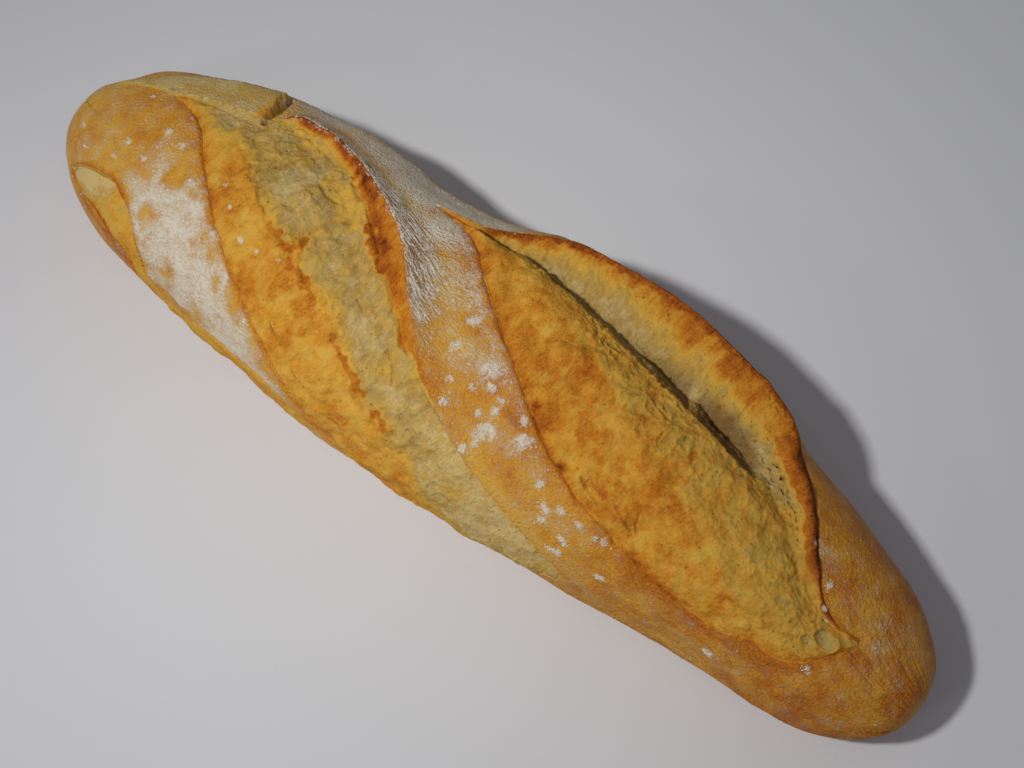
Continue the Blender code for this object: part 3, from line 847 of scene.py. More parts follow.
def crevice(at):
    """How far each place drops into the crevice, and how dark its shade is."""
    up_wall = -at.past(at.slash.foot)
    ledge = 0.8 * at.soft(3.0, 57)
    deeper = beyond(at.along, 20, 40)
    far_end = between(at.along, 64, 4, 86, 8)
    below_lip = ease(at.past_lip / 0.8 + 0.3) * at.opened
    slot = below_lip * (1 - ease((up_wall + 1.5 + ledge) / 3.5)) * (1 - 0.8 * at.bridge)
    shaded = 1 - ease((up_wall - 0.6 - 1.2 * deeper - 1.6 * far_end + ledge) / 4.5)
    shaded = shaded * (1 - 0.7 * at.bridge) * (1 - 0.55 * ease(1.6 - at.past_lip / 1.5))
    return (0.3 + 1.0 * deeper) * slot, (0.26 + 0.36 * deeper + 0.12 * far_end) * below_lip * shaded


print("relief of the right sample, mm:", np.ptp(right_relief(sample)).round(1))
print("deepest drop into the crevice, mm:", crevice(sample)[0].max().round(1))

# %% Browning of the right opening
def right_rim_brown(at):
    """The rim is toasted below the ear, and darker where the ear rolls over."""
    crest = to_crest(at, RIGHT_RIM)
    hanging = 0.56 + 0.12 * at.soft(2.4, 90, 1, 2) + 0.10 * crest
    rolled = 0.66 + 0.24 * ease(crest * 1.4) + 0.05 * at.soft(2.2, 86)
    return toward(hanging, rolled, at.rolled)


def right_browning(at):
    """Pale on the wall, golden on torn crumb and its skin, brown on rim, crest and near edge."""
    wall = at.on_wall * (0.07 + 0.05 * at.soft(4, 99) + 0.06 * at.fluffy)
    on_skin = 0.53 + 0.10 * at.soft(7, 98) + 0.11 * at.soft(2.6, 100) - 0.08 * at.late
    on_torn = 0.36 + 0.07 * at.soft(6, 98) + 0.06 * at.soft(2.2, 101) + 0.06 * at.rough
    on_torn = on_torn + 0.10 * at.flaky * ease(at.scales + 0.3)
    brown = wall + at.on_crumb * toward(on_torn, on_skin, at.skin)
    at.toasted = ease((at.past_rim + 5.0) / 5.0) * at.on_wall
    brown = toward(brown, 0.30 + 0.09 * at.soft(2.2, 102, 1, 2), at.toasted * (1 - 0.6 * at.late))
    brown = toward(brown, right_rim_brown(at), at.rim)
    crest = ease(1.3 - (at.past(at.slash.far) + 0.5 * at.soft(1.8, 105)) / 2.2)
    brown = np.maximum(brown, 0.80 * crest * between(at.along, -26, 10, 136, 8))
    past_near = at.past(at.slash.torn_near)
    edge = np.clip(1 + past_near / 4.5, 0, 1)
    edge = ease(edge + 0.6 * edge * at.soft(2.5, 88)) * at.on_crumb
    brown = brown + 0.14 * edge * until(at.along, 116, 10)
    knot = ease(1.6 - at.from_place(71.5, 88) / 1.5)
    brown = np.maximum(brown, 0.62 * knot)
    brown = toward(brown, 0.34, at.bridge * ease(1 - np.abs(at.past_lip - 1.5) / 4) * at.opened)
    crust_near = ease(1.3 + past_near / 5 + 0.7 * at.soft(2.4, 55)) * beyond(at.along, 112, 8)
    return toward(brown, 0.60, crust_near)


print("mean browning of the right sample:", right_browning(sample).mean().round(2))

# %% Burst bowls, and the whole right wedge
def burst_bowls(at, height, brown, dark):
    """Wide gas cells that burst at the surface leave smooth, pale bowls with a low rim, greyed by painted
    shade.
    """
    for place, turn, radius, strength in FAINT_BOWLS:
        away = at.from_place(place, turn) / radius + 0.10 * at.soft(2.0, 103)
        bowl = strength * ease((1.1 - away) / 0.35)
        height = height * (1 - bowl) - 0.20 * radius * strength * np.clip(1 - away**2, 0, 1)
        height = height + 0.22 * strength * ease(1 - np.abs(away - 1.05) / 0.22)
        # Each bowl gets paler crumb, and painted shade that greys it.
        brown, dark = toward(brown, 0.06, bowl), toward(dark, 0.14, bowl)
    return height, brown, dark


def right_crumb(at):
    """Height, browning, shade, drop and openness of the right wedge."""
    right_borders(at)
    height, brown = right_relief(at), right_browning(at)
    bare_wall = at.on_wall * (1 - at.rim)
    wall_pit_shade = 0.24 * at.pits + np.clip(-0.20 * at.fluffy, 0, 0.15)
    # Painted shade: the torn crumb is a little darker overall and in its low places, more so late in the
    # slash, and pits in the bare wall are darkened.
    dark = at.torn * (np.clip(0.14 - 0.32 * at.rough, 0, 0.36) + 0.04 * at.late)
    dark = dark + bare_wall * wall_pit_shade * (1 - 0.6 * at.toasted)
    height, brown, dark = burst_bowls(at, height, brown, dark)
    plunge, shade = crevice(at)
    dark = np.clip(np.maximum(dark, shade), 0, 0.85)
    return height, np.clip(brown, 0, 1), dark, plunge, at.torn + bare_wall


print(len(FAINT_BOWLS), "burst bowls in the right opening")

# %% [markdown]
# ### The end slash
# It opened early and little: a low, evenly baked strip, pale at its upper end and golden lower down.

# %% Relief and browning of the end slash
def end_crumb(at):
    """Height, browning, shade, drop and openness of the end slash's wedge."""
    far, near = at.slash.far(at.along), at.slash.torn_near(at.along)
    share = np.clip((at.degrees - far) / np.maximum(near - far, 0.5), 0, 1)
    height = 0.12 * at.soft(1.6, 101) + 0.18 * at.soft(3.0, 102, 1, 2)
    low_end = ease((at.along + 130 + 14 * share + 5 * at.soft(4, 108)) / 24)
    brown = -0.05 + 0.46 * low_end + 0.08 * at.soft(5, 103) + 0.06 * at.soft(2, 104)
    brown = brown + 0.5 * ease((0.12 - share) / 0.12) * until(at.along, -100, 10)
    brown = brown + 0.45 * ease((share - 0.74) / 0.26) * until(at.along, -108, 10)
    return height, brown, 0.03, 0, 0


sample = Places(END_SLASH, np.linspace(-140, -40, 50)[:, None], np.linspace(140, 200, 50)[None, :])
print("mean browning of an end sample:", end_crumb(sample)[1].mean().round(2))

# %% [markdown]
# ### Wedges of crumb
# Each wedge reaches a little under the crust at both edges, and two plain strips close it down to a keel on
# the loaf's own axis, so that it is a closed piece with nearly all of its faces where they show.

# %% Where loose flour lies in clumps
CLUMPS = (
    # (along, round, radius) in millimetres and degrees
    (0.5, 103, 1.3), (-0.5, 93, 1.2), (6.5, 122, 1.4), (4.5, 114, 1.2), (10.5, 113, 1.1), (16.5, 119, 1.2),
    (20.5, 116, 1.4), (15.5, 109, 1.1), (20.5, 110, 1.2), (21.5, 124, 2.2), (20.5, 131, 2.1),
    (18.5, 134, 1.3), (32.4, 119, 2.2), (28.4, 113, 1.3), (12.5, 103, 2.4), (47, 139, 1.3), (50.8, 136, 1.2),
    (42.1, 132, 1.4), (57.4, 138, 1.3), (55.5, 149, 1.2), (54.6, 157, 2.0), (47, 146, 1.2), (64.8, 139, 1.2),
    (69.4, 158, 1.4), (104.5, 169, 1.6), (129.6, 132, 1.6), (111.9, 82, 0.8), (121.5, 90, 1.3),
    (124.1, 99, 0.7), (126.6, 103, 0.5), (-116, 93, 0.8), (-126.6, 107, 0.9), (-146.9, 115, 0.9),
    (-141.2, 126, 0.8), (-127.8, 118, 0.8), (-103, 93, 0.9), (-109, 95, 0.8), (-116.8, 110, 1.0),
    (-131.9, 80, 0.9), (-87.7, 100, 0.8), (-80.9, 107, 0.6), (-72.1, 116, 0.7), (-65.7, 116, 0.6),
    (-58.3, 114, 0.6),
)


def clumped(at):
    """1 inside each clump of loose flour and on the dusted crest of the left ear, with ragged borders."""
    ragged_rim = 0.75 * at.plain(1.7, 126) + 0.45 * at.plain(0.8, 127)
    row = ease(1.1 - np.abs(at.past(LEFT_SLASH.far)) / 0.9) * ease(2.2 * at.plain(1.0, 128) + 0.3)
    total = 0.8 * row * between(at.along, -92, 6, -26, 12)
    for place, turn, radius in CLUMPS:
        away = at.from_place(place, turn) / radius
        total = np.maximum(total, ease(1.6 * (1.15 - away + ragged_rim)) * ease(2.4 - away))
    return total


print(len(CLUMPS), "clumps of flour")

# %% One wedge
SINK = 1.3  # how far one surface dives under the other beyond a torn edge
DIVE = 0.7  # width over which it dives
UNDER_CRUST = 1.8  # how far a wedge reaches under the crust at each edge


def grid_faces(rows, columns):
    """Faces of a grid of points, as (rows * columns) indices, turned outwards."""
    corner = (np.arange(rows - 1)[:, None] * columns + np.arange(columns - 1)[None, :]).ravel()
    return np.stack([corner, corner + 1, corner + 1 + columns, corner + columns], -1).tolist()


def wedge_faces(rows, columns):
    """Faces of the grid, of the two strips down to the keel and of both ends."""
    faces = grid_faces(rows, columns)
    last, keel = columns - 1, rows * columns
    for row in range(rows - 1):
        at, then = row * columns, (row + 1) * columns
        faces.append([at, then, keel + row + 1, keel + row])
        faces.append([at + last, keel + row, keel + row + 1, then + last])
    faces.append([keel] + list(range(last, -1, -1)))
    faces.append([keel + rows - 1] + list(range((rows - 1) * columns, rows * columns)))
    return faces


def crumb_wedge(slash, detail, rows, columns):
    """Points, faces and point values of one wedge."""
    along = np.linspace(slash.start + 0.5, slash.end - 0.5, rows)[:, None]
    far, near = slash.far(along), slash.torn_near(along)
    margin = UNDER_CRUST / MM_PER_DEGREE
    at = Places(slash, along, far - margin + (near - far + 2 * margin) * np.linspace(0, 1, columns)[None, :])
    fine, brown, dark, plunge, torn = detail(at)
    cracks, crack_shade = crack_relief(at)
    outside = np.maximum(-at.past(slash.far), at.past(slash.torn_near))
    indoors = ease(-outside / DIVE) * slash.fade(along)
    ends = 1 - between(along, slash.start, 3, slash.end, 3)
    height = main_relief(at.s, at.degrees, at.points) + (fine + cracks) * indoors
    height = height - SINK * np.maximum(ease(outside / DIVE), ends)
    placed = place_on_loaf(at.s, at.degrees, at.points, height)
    placed[..., 2] -= plunge * indoors
    axis = at.s[:, 0]
    keel = np.stack([axis * LENGTH / 2, middle_line(axis), girth_sizes(axis)[2]], -1)
    # The dark number holds painted shade: of the crevice, pits, bowls and cracks.
    values = {
        "browned": brown, "torn": torn + 0 * at.p, "dark": np.maximum(dark, crack_shade),
        "loose": clumped(at) * indoors,
    }
    values = {name: value.ravel() for name, value in values.items()}
    values["grain"] = np.stack([at.p, at.q, 0 * at.p], -1).reshape(-1, 3) * MM
    values = {name: np.concatenate([value, value[:rows]]) for name, value in values.items()}
    return np.concatenate([placed.reshape(-1, 3), keel]), wedge_faces(rows, columns), values


grids = {
    "crumb_end": crumb_wedge(END_SLASH, end_crumb, 320, 70),
    "crumb_left": crumb_wedge(LEFT_SLASH, left_crumb, 520, 180),
    "crumb_right": crumb_wedge(RIGHT_SLASH, right_crumb, 470, 200),
}
print("points in the wedges:", [len(placed) for placed, _, _ in grids.values()])

# %% [markdown]
# ## The crust
# Everything outside the slashes is one closed skin: the floured bands, the backs of the ears, both ends, the
# flanks and the flat underside. Inside each slash it dives below the crumb, so that the two surfaces cross
# exactly at the torn edge. Three numbers are kept at each point: how far the crust has browned, how much
# flour lies on it, and how much of that flour was dragged into streaks by the proving cloth.

# %% Flour on the crust
FLOUR_REACH = 1.25  # how much wider than in the table each floured place fades out
FLOURED = (
    # (along, round, length, width, amount)
    (-112, 108, 16, 20, 0.60), (-102, 122, 20, 24, 0.95), (-92, 138, 24, 30, 1.25), (-80, 152, 24, 30, 1.30),
    (-66, 166, 24, 24, 1.15), (-52, 178, 24, 20, 0.95), (-36, 190, 22, 18, 0.60), (-52, 40, 40, 30, 1.20),
    (-34, 48, 34, 26, 1.75), (-24, 68, 24, 18, 1.15), (-6, 84, 24, 18, 0.75), (12, 102, 26, 18, 0.60),
    (32, 122, 28, 18, 0.48), (54, 142, 26, 18, 0.38), (-80, 34, 36, 30, 0.95), (112, 84, 22, 18, 0.50),
    (106, 168, 20, 14, 0.45), (140, 90, 36, 70, 0.34), (60, 174, 80, 22, 0.26),
)


def sifted_flour(at):
    """Flour left by the sieve: a thin coat, thicker in bands, with islands and clumps."""
    flour = 0.30 - 0.06 * beyond(at.along, 10, 40)
    for place, turn, long, wide, amount in FLOURED:
        flour = np.maximum(flour, amount * at.spot(place, turn, long * FLOUR_REACH, wide * FLOUR_REACH))
    past = at.past(RIGHT_SLASH.torn_near)
    fringe = ease(past / 1.0) * (1 - ease((past - 2.5) / 4)) * between(at.along, -34, 10, 60, 50)
    flour = np.maximum(flour, 0.72 * fringe)
    heavy_band = ease(2.5 * at.spot(-86, 140, 46, 66))
    flour = flour + heavy_band * (0.55 * at.bulk(6.5, 118) + 0.40 * at.bulk(2.8, 119) + 0.08)
    return flour + 0.10 * at.bulk(5, 120) + 0.9 * clumped(at)


print(len(FLOURED), "floured places")

# %% The tongue of crust, and the evenly baked crust
TONGUE_TOP = smooth_line((-150, 71), (-140, 65), (-134, 57), (-127, 52), (-117, 49), (-106, 46), (-96, 38))


def tongue_mask(at):
    """1 on the tongue of crust that the left slash left standing at its start."""
    past = at.past(TONGUE_TOP) + 0.5 * wander(at.along, 3.0, 109)
    below = MM_PER_DEGREE - at.past(LEFT_SLASH.far)
    to_end = -95.9 - 0.08 * (67 - at.degrees) - at.along + 0.8 * at.plain(2.4, 129)
    return ease(past / 1.4 + 0.5) * ease(below / 1.0) * beyond(at.along, -151, 3) * ease(to_end / 0.8)


def baked(at, tongue):
    """Browning of the crust away from the slashes: darker at the right end, pale on the tongue."""
    right_end = beyond(at.along, 96, 20)
    brown = 0.45 + 0.09 * at.bulk(22, 113) + 0.09 * at.bulk(7, 115) + 0.08 * at.bulk(2.8, 116)
    brown = brown + 0.14 * right_end + 0.10 * until(at.degrees, 60, 50) * beyond(at.along, -20, 40)
    brown = brown + 0.05 * beyond(at.along, -25, 30) * (1 - right_end)
    brown = toward(brown, 0.05 + 0.14 * at.bulk(6, 117) + 0.06 * at.uneven, tongue)
    return toward(brown, 0.64, 0.8 * tongue * ease(1.4 - (-96.5 - at.along) / 2.2))


sample = Places(LEFT_SLASH, np.linspace(-140, 140, 50)[:, None], np.linspace(0, 180, 50)[None, :])
print("largest amount of sifted flour in a sample:", sifted_flour(sample).max().round(2))

# %% The back of the left ear
STREAKS_FAN = smooth_line((-75, 4), (-65, 4), (-50, 7), (-35, 10), (-20, 14), (0, 19), (30, 28))


def behind_left_ear(at, brown, flour):
    """Browning and flour behind the left ear, the streaks there, and the flour on its crest."""
    along, past_ear = at.along, -at.past(LEFT_SLASH.far)
    in_left = LEFT_SLASH.fade(along) * beyond(along, -94, 3)
    streaks = ease(past_ear / 1.2) * (1 - ease((past_ear / STREAKS_FAN(along) - 0.35) / 0.9))
    streaks = streaks * in_left * until(along, 6, 32)
    flour = np.maximum(flour, 0.64 * ease(streaks * 1.5) * until(along, 10, 30))
    crest = ease(1.2 - past_ear / 2.5) * (past_ear > 0) * in_left * until(along, 30, 30)
    blend = ease(1 - np.abs(past_ear - 3) / 6) * beyond(along, 12, 12) * LEFT_SLASH.fade(along)
    brown = toward(np.maximum(brown, 0.64 * crest), 0.36, blend)
    dusted = ease(1 - np.abs(past_ear - 0.7) / 0.9) * in_left * until(along, -10, 20)
    return brown, flour, streaks, dusted


print("the streaks reach this far behind the ear, mm:", STREAKS_FAN(np.array([-60, -30, 0])).round(1))

# %% Edges and crests of the slashes
NEAR_EDGES = (
    # (slash, width, browning, place where it starts)
    (LEFT_SLASH, 1.3, 0.62, -112), (RIGHT_SLASH, 2.8, 0.67, -30), (END_SLASH, 1.5, 0.60, -140),
)


def along_near_edges(at, brown, flour):
    """The crust browns towards each near edge, and its flour is thinner there."""
    for slash, width, amount, start in NEAR_EDGES:
        past = at.past(slash.torn_near) + 0.9 * at.uneven
        line = np.clip(1 - np.abs(past - 0.5) / width, 0, 1) * slash.fade(at.along)
        line = line * beyond(at.along, start, 10) * ease(0.75 + 0.8 * at.bulk(4, 114))
        glow = ease(1 - np.abs(past - 1.0) / (3 * width)) * slash.fade(at.along)
        brown = np.maximum(np.minimum(brown + 0.13 * glow, 0.68), amount * ease(line * 1.2))
        flour = flour * (1 - 0.45 * ease(line * 1.5)) * (1 - 0.15 * glow)
    return brown, flour


def along_crests(at, brown, flour):
    """The thin crests of the end slash and of the right ear are the first to brown."""
    past_end = 0.8 * at.uneven - at.past(END_SLASH.far)
    rim = ease(1 - np.abs(past_end) / 6) * END_SLASH.fade(at.along) * until(at.along, -100, 12)
    below_end = ease(1 - np.abs(at.past(END_SLASH.near) - 4) / 5) * END_SLASH.fade(at.along)
    past_right = -at.past(RIGHT_SLASH.far)
    crest = ease(1 - past_right / 2.6) * (past_right > -1) * RIGHT_SLASH.fade(at.along)
    crest = crest * until(at.along, 134, 10)
    brown = np.maximum(brown, 0.66 * rim) + 0.14 * below_end * until(at.along, -104, 10)
    return np.maximum(brown, 0.76 * crest), flour * (1 - 0.5 * rim) * (1 - 0.3 * crest)


def crust_looks(at):
    """How browned, floured and streaked the crust is, each from 0 to 1."""
    at.uneven = at.bulk(1.4, 112)
    tongue = tongue_mask(at)
    brown, flour = baked(at, tongue), toward(sifted_flour(at), 0.20, tongue)
    brown, flour, streaks, dusted = behind_left_ear(at, brown, flour)
    brown, flour = along_near_edges(at, brown, flour)
    brown, flour = along_crests(at, brown, np.maximum(flour, 0.75 * dusted))
    sole = until(at.degrees, -30, 40) + beyond(at.degrees, 210, 40)
    brown = np.maximum(brown, 0.72 * sole)
    return np.clip(brown, 0, 1), np.clip(flour, 0, 1), np.clip(streaks, 0, 1)


print("mean browning of the crust in the same sample:", crust_looks(sample)[0].mean().round(2))

# %% One closed crust
DEEP_DIVE = 9.0  # how far the crust dives in the middle of a slash


def crust_relief(at, flour):
    """Fine height of the crust: skin, wrinkles, the tongue of crust and caked flour."""
    height = 0.11 * at.bulk(2.7, 121) + 0.06 * at.bulk(1.2, 122)
    low_flank = beyond(at.degrees, 135, 20) * beyond(at.along, 40, 40)
    wrinkled = np.maximum(low_flank, beyond(at.along, 118, 20) * beyond(at.degrees, 60, 40))
    height = height + 0.32 * wrinkled * (1 - 2 * np.abs(at.soft(1.0, 123, 11, 1.9)))
    lifted = beyond(at.along, -140, 30) * ease((LEFT_SLASH.far(at.along) + 1 - at.degrees) / 24)
    height = height + (0.5 + 1.7 * lifted) * tongue_mask(at)
    return height + 0.12 * flour * at.bulk(3.5, 125)


def crust_faces(rows, columns):
    """Faces of the grid, of the seam under the loaf and of both tips."""
    faces = grid_faces(rows, columns)
    left_tip, last_ring = rows * columns, (rows - 1) * columns
    for at in range(0, last_ring, columns):
        faces.append([at + columns - 1, at, at + columns, at + 2 * columns - 1])
    for j in range(columns):
        k = (j + 1) % columns
        faces.append([left_tip, k, j])
        faces.append([left_tip + 1, last_ring + j, last_ring + k])
    return faces


def crust_skin(rows, columns):
    """Points, faces and point values of the crust."""
    turns = np.linspace(-np.pi / 2, np.pi / 2, rows + 2)[1:-1]
    at = Places(LEFT_SLASH, np.sin(turns)[:, None] * LENGTH / 2, np.linspace(-90, 270, columns)[None, :])
    brown, flour, streaks = crust_looks(at)
    inside, deeper = 0, 0
    for slash in SLASHES:
        depth_in = np.minimum(at.past(slash.far), -at.past(slash.torn_near))
        faded = ease(slash.fade(at.along) * 1.5)
        inside = np.maximum(inside, ease(depth_in / DIVE) * faded)
        deeper = np.maximum(deeper, ease((depth_in - 1.5) / 4) * faded)
    cracks, dark = crack_relief(at)
    fine = (crust_relief(at, flour) + cracks) * (1 - inside)
    height = main_relief(at.s, at.degrees, at.points) + fine - SINK * inside - DEEP_DIVE * deeper
    rings = place_on_loaf(at.s, at.degrees, at.points, height).reshape(-1, 3)
    tips = body_points(np.array([-1.0, 1.0]), np.array([90.0, 90.0]))
    loose = (clumped(at) + 0.012 * flour**2) * (1 - inside) * shown(at.s, at.degrees)
    # The dark number holds the painted shade of cracks and holes.
    values = {"browned": brown, "floured": flour, "streaked": streaks, "dark": dark, "loose": loose}
    values = {name: value.ravel() for name, value in values.items()}
    past_ear = np.clip(-at.past(LEFT_SLASH.far), 0, 40)
    across = at.w - 0.28 * at.along + 1.6 * np.exp(-past_ear / 3)  # streaks bend away from the ear
    values["grain"] = np.stack([at.along, across, 0 * across], -1).reshape(-1, 3) * MM
    values = {name: np.concatenate([value, value[[0, -1]]]) for name, value in values.items()}
    return np.concatenate([rings, tips]), crust_faces(rows, columns), values


CRUST_ROWS, CRUST_COLUMNS = 900, 460
grids = {"crust": crust_skin(CRUST_ROWS, CRUST_COLUMNS), **grids}
print("points in the crust:", len(grids["crust"][0]))

# %% [markdown]
# ## From numbers to meshes
# A mesh takes its points in metres. The values become named attributes, which a material reads with an
# Attribute node. The crust's grid is even, though most of the crust is smooth, so a Decimate modifier then
# takes faces away where they tell nothing, and leaves them along cracks and torn edges. The fine relief
# would stand a few tenths of a millimetre outside the solid's box. So all pieces are squeezed by the same
# small share, which leaves a little room for the loose flour too.

# %% Make the crust and the crumb
def make_piece(name, placed, faces, values):
    mesh = bpy.data.meshes.new(name)
    mesh.from_pydata(((placed - centre) * squeeze * MM).tolist(), [], faces)
    for label, value in values.items():
        vector = value.ndim == 2
        attribute = mesh.attributes.new(label, "FLOAT_VECTOR" if vector else "FLOAT", "POINT")
        attribute.data.foreach_set("vector" if vector else "value", value.astype(np.float32).ravel())
    mesh.shade_smooth()
    piece = bpy.data.objects.new(name, mesh)
    bpy.context.scene.collection.objects.link(piece)
    return piece


def settle(piece):
    """Turns the piece with its modifiers into a plain mesh."""
    graph = bpy.context.evaluated_depsgraph_get()
    mesh = bpy.data.meshes.new_from_object(piece.evaluated_get(graph), depsgraph=graph)
    piece.modifiers.clear()
    old = piece.data
    piece.data = mesh
    mesh.name = piece.name
    bpy.data.meshes.remove(old)
    return sum(len(polygon.vertices) - 2 for polygon in mesh.polygons)


CRUST_TRIANGLES = 190000
ROOM = 0.3

corners = np.concatenate([placed for placed, _, _ in grids.values()])
centre = (corners.min(axis=0) + corners.max(axis=0)) / 2
centre[2] = 0
reach = np.abs(corners - centre).max(axis=0)
allowed = np.minimum(-np.array(cad_box[0]), np.array(cad_box[1])) / MM
allowed[2] = cad_box[1][2] / MM
squeeze = np.minimum(1, (allowed - ROOM) / reach)
print("squeezed to these shares of its size:", np.round(squeeze, 4))

pieces = {name: make_piece(name, *grid) for name, grid in grids.items()}
crust = pieces["crust"]
crumbs = [pieces["crumb_end"], pieces["crumb_left"], pieces["crumb_right"]]
thinning = crust.modifiers.new("fewer faces where smooth", "DECIMATE")
thinning.ratio = CRUST_TRIANGLES / (2 * CRUST_ROWS * CRUST_COLUMNS)
print("crust triangles:", settle(crust))

# %% [markdown]
# ## Materials
# Colours are written as a screen shows them, as sRGB hex values, and one function turns them into the linear
# numbers that Blender works in.

# %% Colours and nodes
def linear(hex_colour):
    """Linear colour from an sRGB hex value such as "C8AC66"."""
    channels = [int(hex_colour[i:i + 2], 16) / 255 for i in (0, 2, 4)]
    return [c / 12.92 if c <= 0.04045 else ((c + 0.055) / 1.055) ** 2.4 for c in channels] + [1.0]


def per_mm(size):
    """Scale of a noise texture whose lumps are about this many millimetres wide."""
    return 1 / (size * MM)


def add(tree, kind, *values, out=None, **named):
    """Adds a node and returns one of its outputs, the first unless it is named. A kind in capitals is what a
    Math node does. Values without a name go to the inputs in order. A small letter starts the name of a
    setting, and a capital that of an input."""
    if kind.isupper():
        kind, named["operation"] = "Math", kind
    node = tree.nodes.new(kind if "Node" in kind else "ShaderNode" + kind)
    for name in [name for name in named if name[0].islower()]:
        setattr(node, name, named.pop(name))
    inputs = [socket for socket in node.inputs if socket.enabled]
    by_name = {socket.name: socket for socket in reversed(inputs)}
    for socket, value in [*zip(inputs, values), *((by_name[name], named[name]) for name in named)]:
        if isinstance(value, bpy.types.NodeSocket):
            tree.links.new(value, socket)
        else:
            socket.default_value = value
    return node.outputs[out] if out else next(socket for socket in node.outputs if socket.enabled)


def new_material(name, roughness, specular, ior=1.45):
    """A material, its node tree and its shader. The index of refraction is that of dry starch."""
    material = bpy.data.materials.new(name)
    material.use_nodes = True
    shader = material.node_tree.nodes["Principled BSDF"]
    for label, value in (("Roughness", roughness), ("IOR", ior), ("Specular IOR Level", specular)):
        shader.inputs[label].default_value = value
    return material, material.node_tree, shader


print("the clearest yellow in linear light:", [round(c, 3) for c in linear("D9AB45")])

# %% [markdown]
# Both crust and crumb take their colour from one table of the colours that bread goes through in an oven.
# Noises round 0.5 are stirred into the browning first, because no two spots bake alike.

# %% Browning
BROWNING = (
    (0.00, "D2B67A"), (0.12, "C29F54"), (0.22, "C89F4A"), (0.30, "D9AB45"), (0.38, "D6A040"),
    (0.50, "CF902F"), (0.63, "C07621"), (0.76, "AA5B18"), (0.88, "844013"), (1.00, "4E2812"),
)


def stirred(tree, value, *parts):
    """The value, with a share of each noise added round its middle."""
    for noise, share in parts:
        off_middle = add(tree, "SUBTRACT", noise, 0.5)
        value = add(tree, "MULTIPLY_ADD", off_middle, share, value)
    return value


def point_values(tree, *names):
    """The numbers that were kept at each point."""
    return [add(tree, "Attribute", attribute_name=name, out="Fac") for name in names]


def baked_colour(tree, browned):
    """The colour that stands for a browning from 0 to 1."""
    colour = add(tree, "ValToRGB", browned)
    elements = colour.node.color_ramp.elements
    while len(elements) < len(BROWNING):
        elements.new(0.5)
    for element, (position, hex_colour) in zip(elements, BROWNING):
        element.position = position
        element.color = linear(hex_colour)
    return colour


print(len(BROWNING), "colours from raw crumb to a scorched lip")

# %% [markdown]
# ### Torn wheat crumb
# Crumb is soft and matte, and it was torn, not cut, so light catches on short fibres and on the rims of gas
# cells. Three noises of 5, 1.8 and 0.75 mm make its browning patchy, and a fourth, stretched across the
# slash by the grain attribute, gives the pulled fibres. Pores are the near parts of Voronoi cells 2.2 mm
# wide. Painted shade darkens the pores, the low spots of the 1.8 mm noise and the places in each point's
# dark number.

# %% Crumb material
def crumb_material():
    material, tree, shader = new_material("torn wheat crumb", 0.78, 0.12)
    place = add(tree, "TexCoord", out="Object")
    grain = add(tree, "Attribute", attribute_name="grain", out="Vector")
    pulled_place = add(tree, "Mapping", Vector=grain, Scale=(1.0, 0.28, 1.0))
    patches, crumbly, fine, pulled = (
        add(tree, "TexNoise", Vector=vector, Scale=per_mm(size), Detail=detail, Roughness=roughness)
        for vector, size, detail, roughness in (
            (place, 5.0, 4.0, 0.55), (place, 1.8, 3.0, 0.6), (place, 0.75, 2.0, 0.55),
            (pulled_place, 0.8, 2.0, 0.55),
        )
    )
    browned, torn, dark, loose = point_values(tree, "browned", "torn", "dark", "loose")
    browned = stirred(tree, browned, (patches, 0.26), (crumbly, 0.22), (fine, 0.32), (pulled, 0.28))
    # Painted shade: pores, pits and the dark number mix the colour toward a shade brown.
    distance = add(tree, "TexVoronoi", Vector=place, Scale=per_mm(2.2), out="Distance")
    luck = add(tree, "SeparateColor", distance.node.outputs["Color"])
    hole = add(tree, "MULTIPLY_ADD", luck, 0.26, -0.07)
    inside = add(tree, "SUBTRACT", hole, distance)
    pore = add(tree, "MULTIPLY", inside, 12.0, use_clamp=True)
    shade = add(tree, "MULTIPLY_ADD", pore, 0.55, dark, use_clamp=True)
    pits = add(tree, "MULTIPLY_ADD", crumbly, -2.4, 0.47 * 2.4, use_clamp=True)
    share = add(tree, "MULTIPLY_ADD", torn, 0.46, 0.10)
    shade = add(tree, "MULTIPLY_ADD", pits, share, shade, use_clamp=True)
    colour = add(tree, "Mix", shade, baked_colour(tree, browned), linear("643E18"), data_type="RGBA")
    cover = add(tree, "MULTIPLY", loose, 0.65, use_clamp=True)
    colour = add(tree, "Mix", cover, colour, linear("DFD7C6"), data_type="RGBA")
    rough = add(tree, "MULTIPLY_ADD", pulled, 0.8, fine)
    share = add(tree, "MULTIPLY_ADD", torn, 1.2, 0.4)
    rough = add(tree, "MULTIPLY_ADD", crumbly, share, rough)
    height = add(tree, "MULTIPLY_ADD", pore, -0.8, rough)
    bump = add(tree, "Bump", Strength=0.6, Distance=0.0004, Height=height)
    tree.links.new(colour, shader.inputs["Base Color"])
    tree.links.new(bump, shader.inputs["Normal"])
    return material


crumb_finish = crumb_material()
for crumb in crumbs:
    crumb.data.materials.append(crumb_finish)
print("material:", crumb_finish.name)

# %% [markdown]
# ### Floured baked crust
# The crust is hard, thin and a little glossy where it is bare, and dull where flour lies on it. The flour
# is rye flour dusted through a sieve. It shows in two ways: as a haze that thickens into a white coat,
# which one broad noise breaks up into islands, and as specks, one in each cell of a Voronoi pattern. The
# specks are drawn coarser than flour, at half a millimetre, so that they show. Where the proving cloth was
# pulled away, the flour is scraped into streaks along the slash.

# %% Crust material
def specks(tree, place, spacing, flour, least, most):
    """Round specks of flour, one for each cell, which grow with the amount of flour."""
    distance = add(tree, "TexVoronoi", Vector=place, Scale=per_mm(spacing), out="Distance")
    luck = add(tree, "SeparateColor", distance.node.outputs["Color"])
    radius = add(tree, "MULTIPLY_ADD", flour, most - least, least)
    radius = add(tree, "MULTIPLY_ADD", luck, 0.34, radius)
    edge = add(tree, "SUBTRACT", radius, distance)
    return add(tree, "MULTIPLY", edge, 7.0, use_clamp=True)


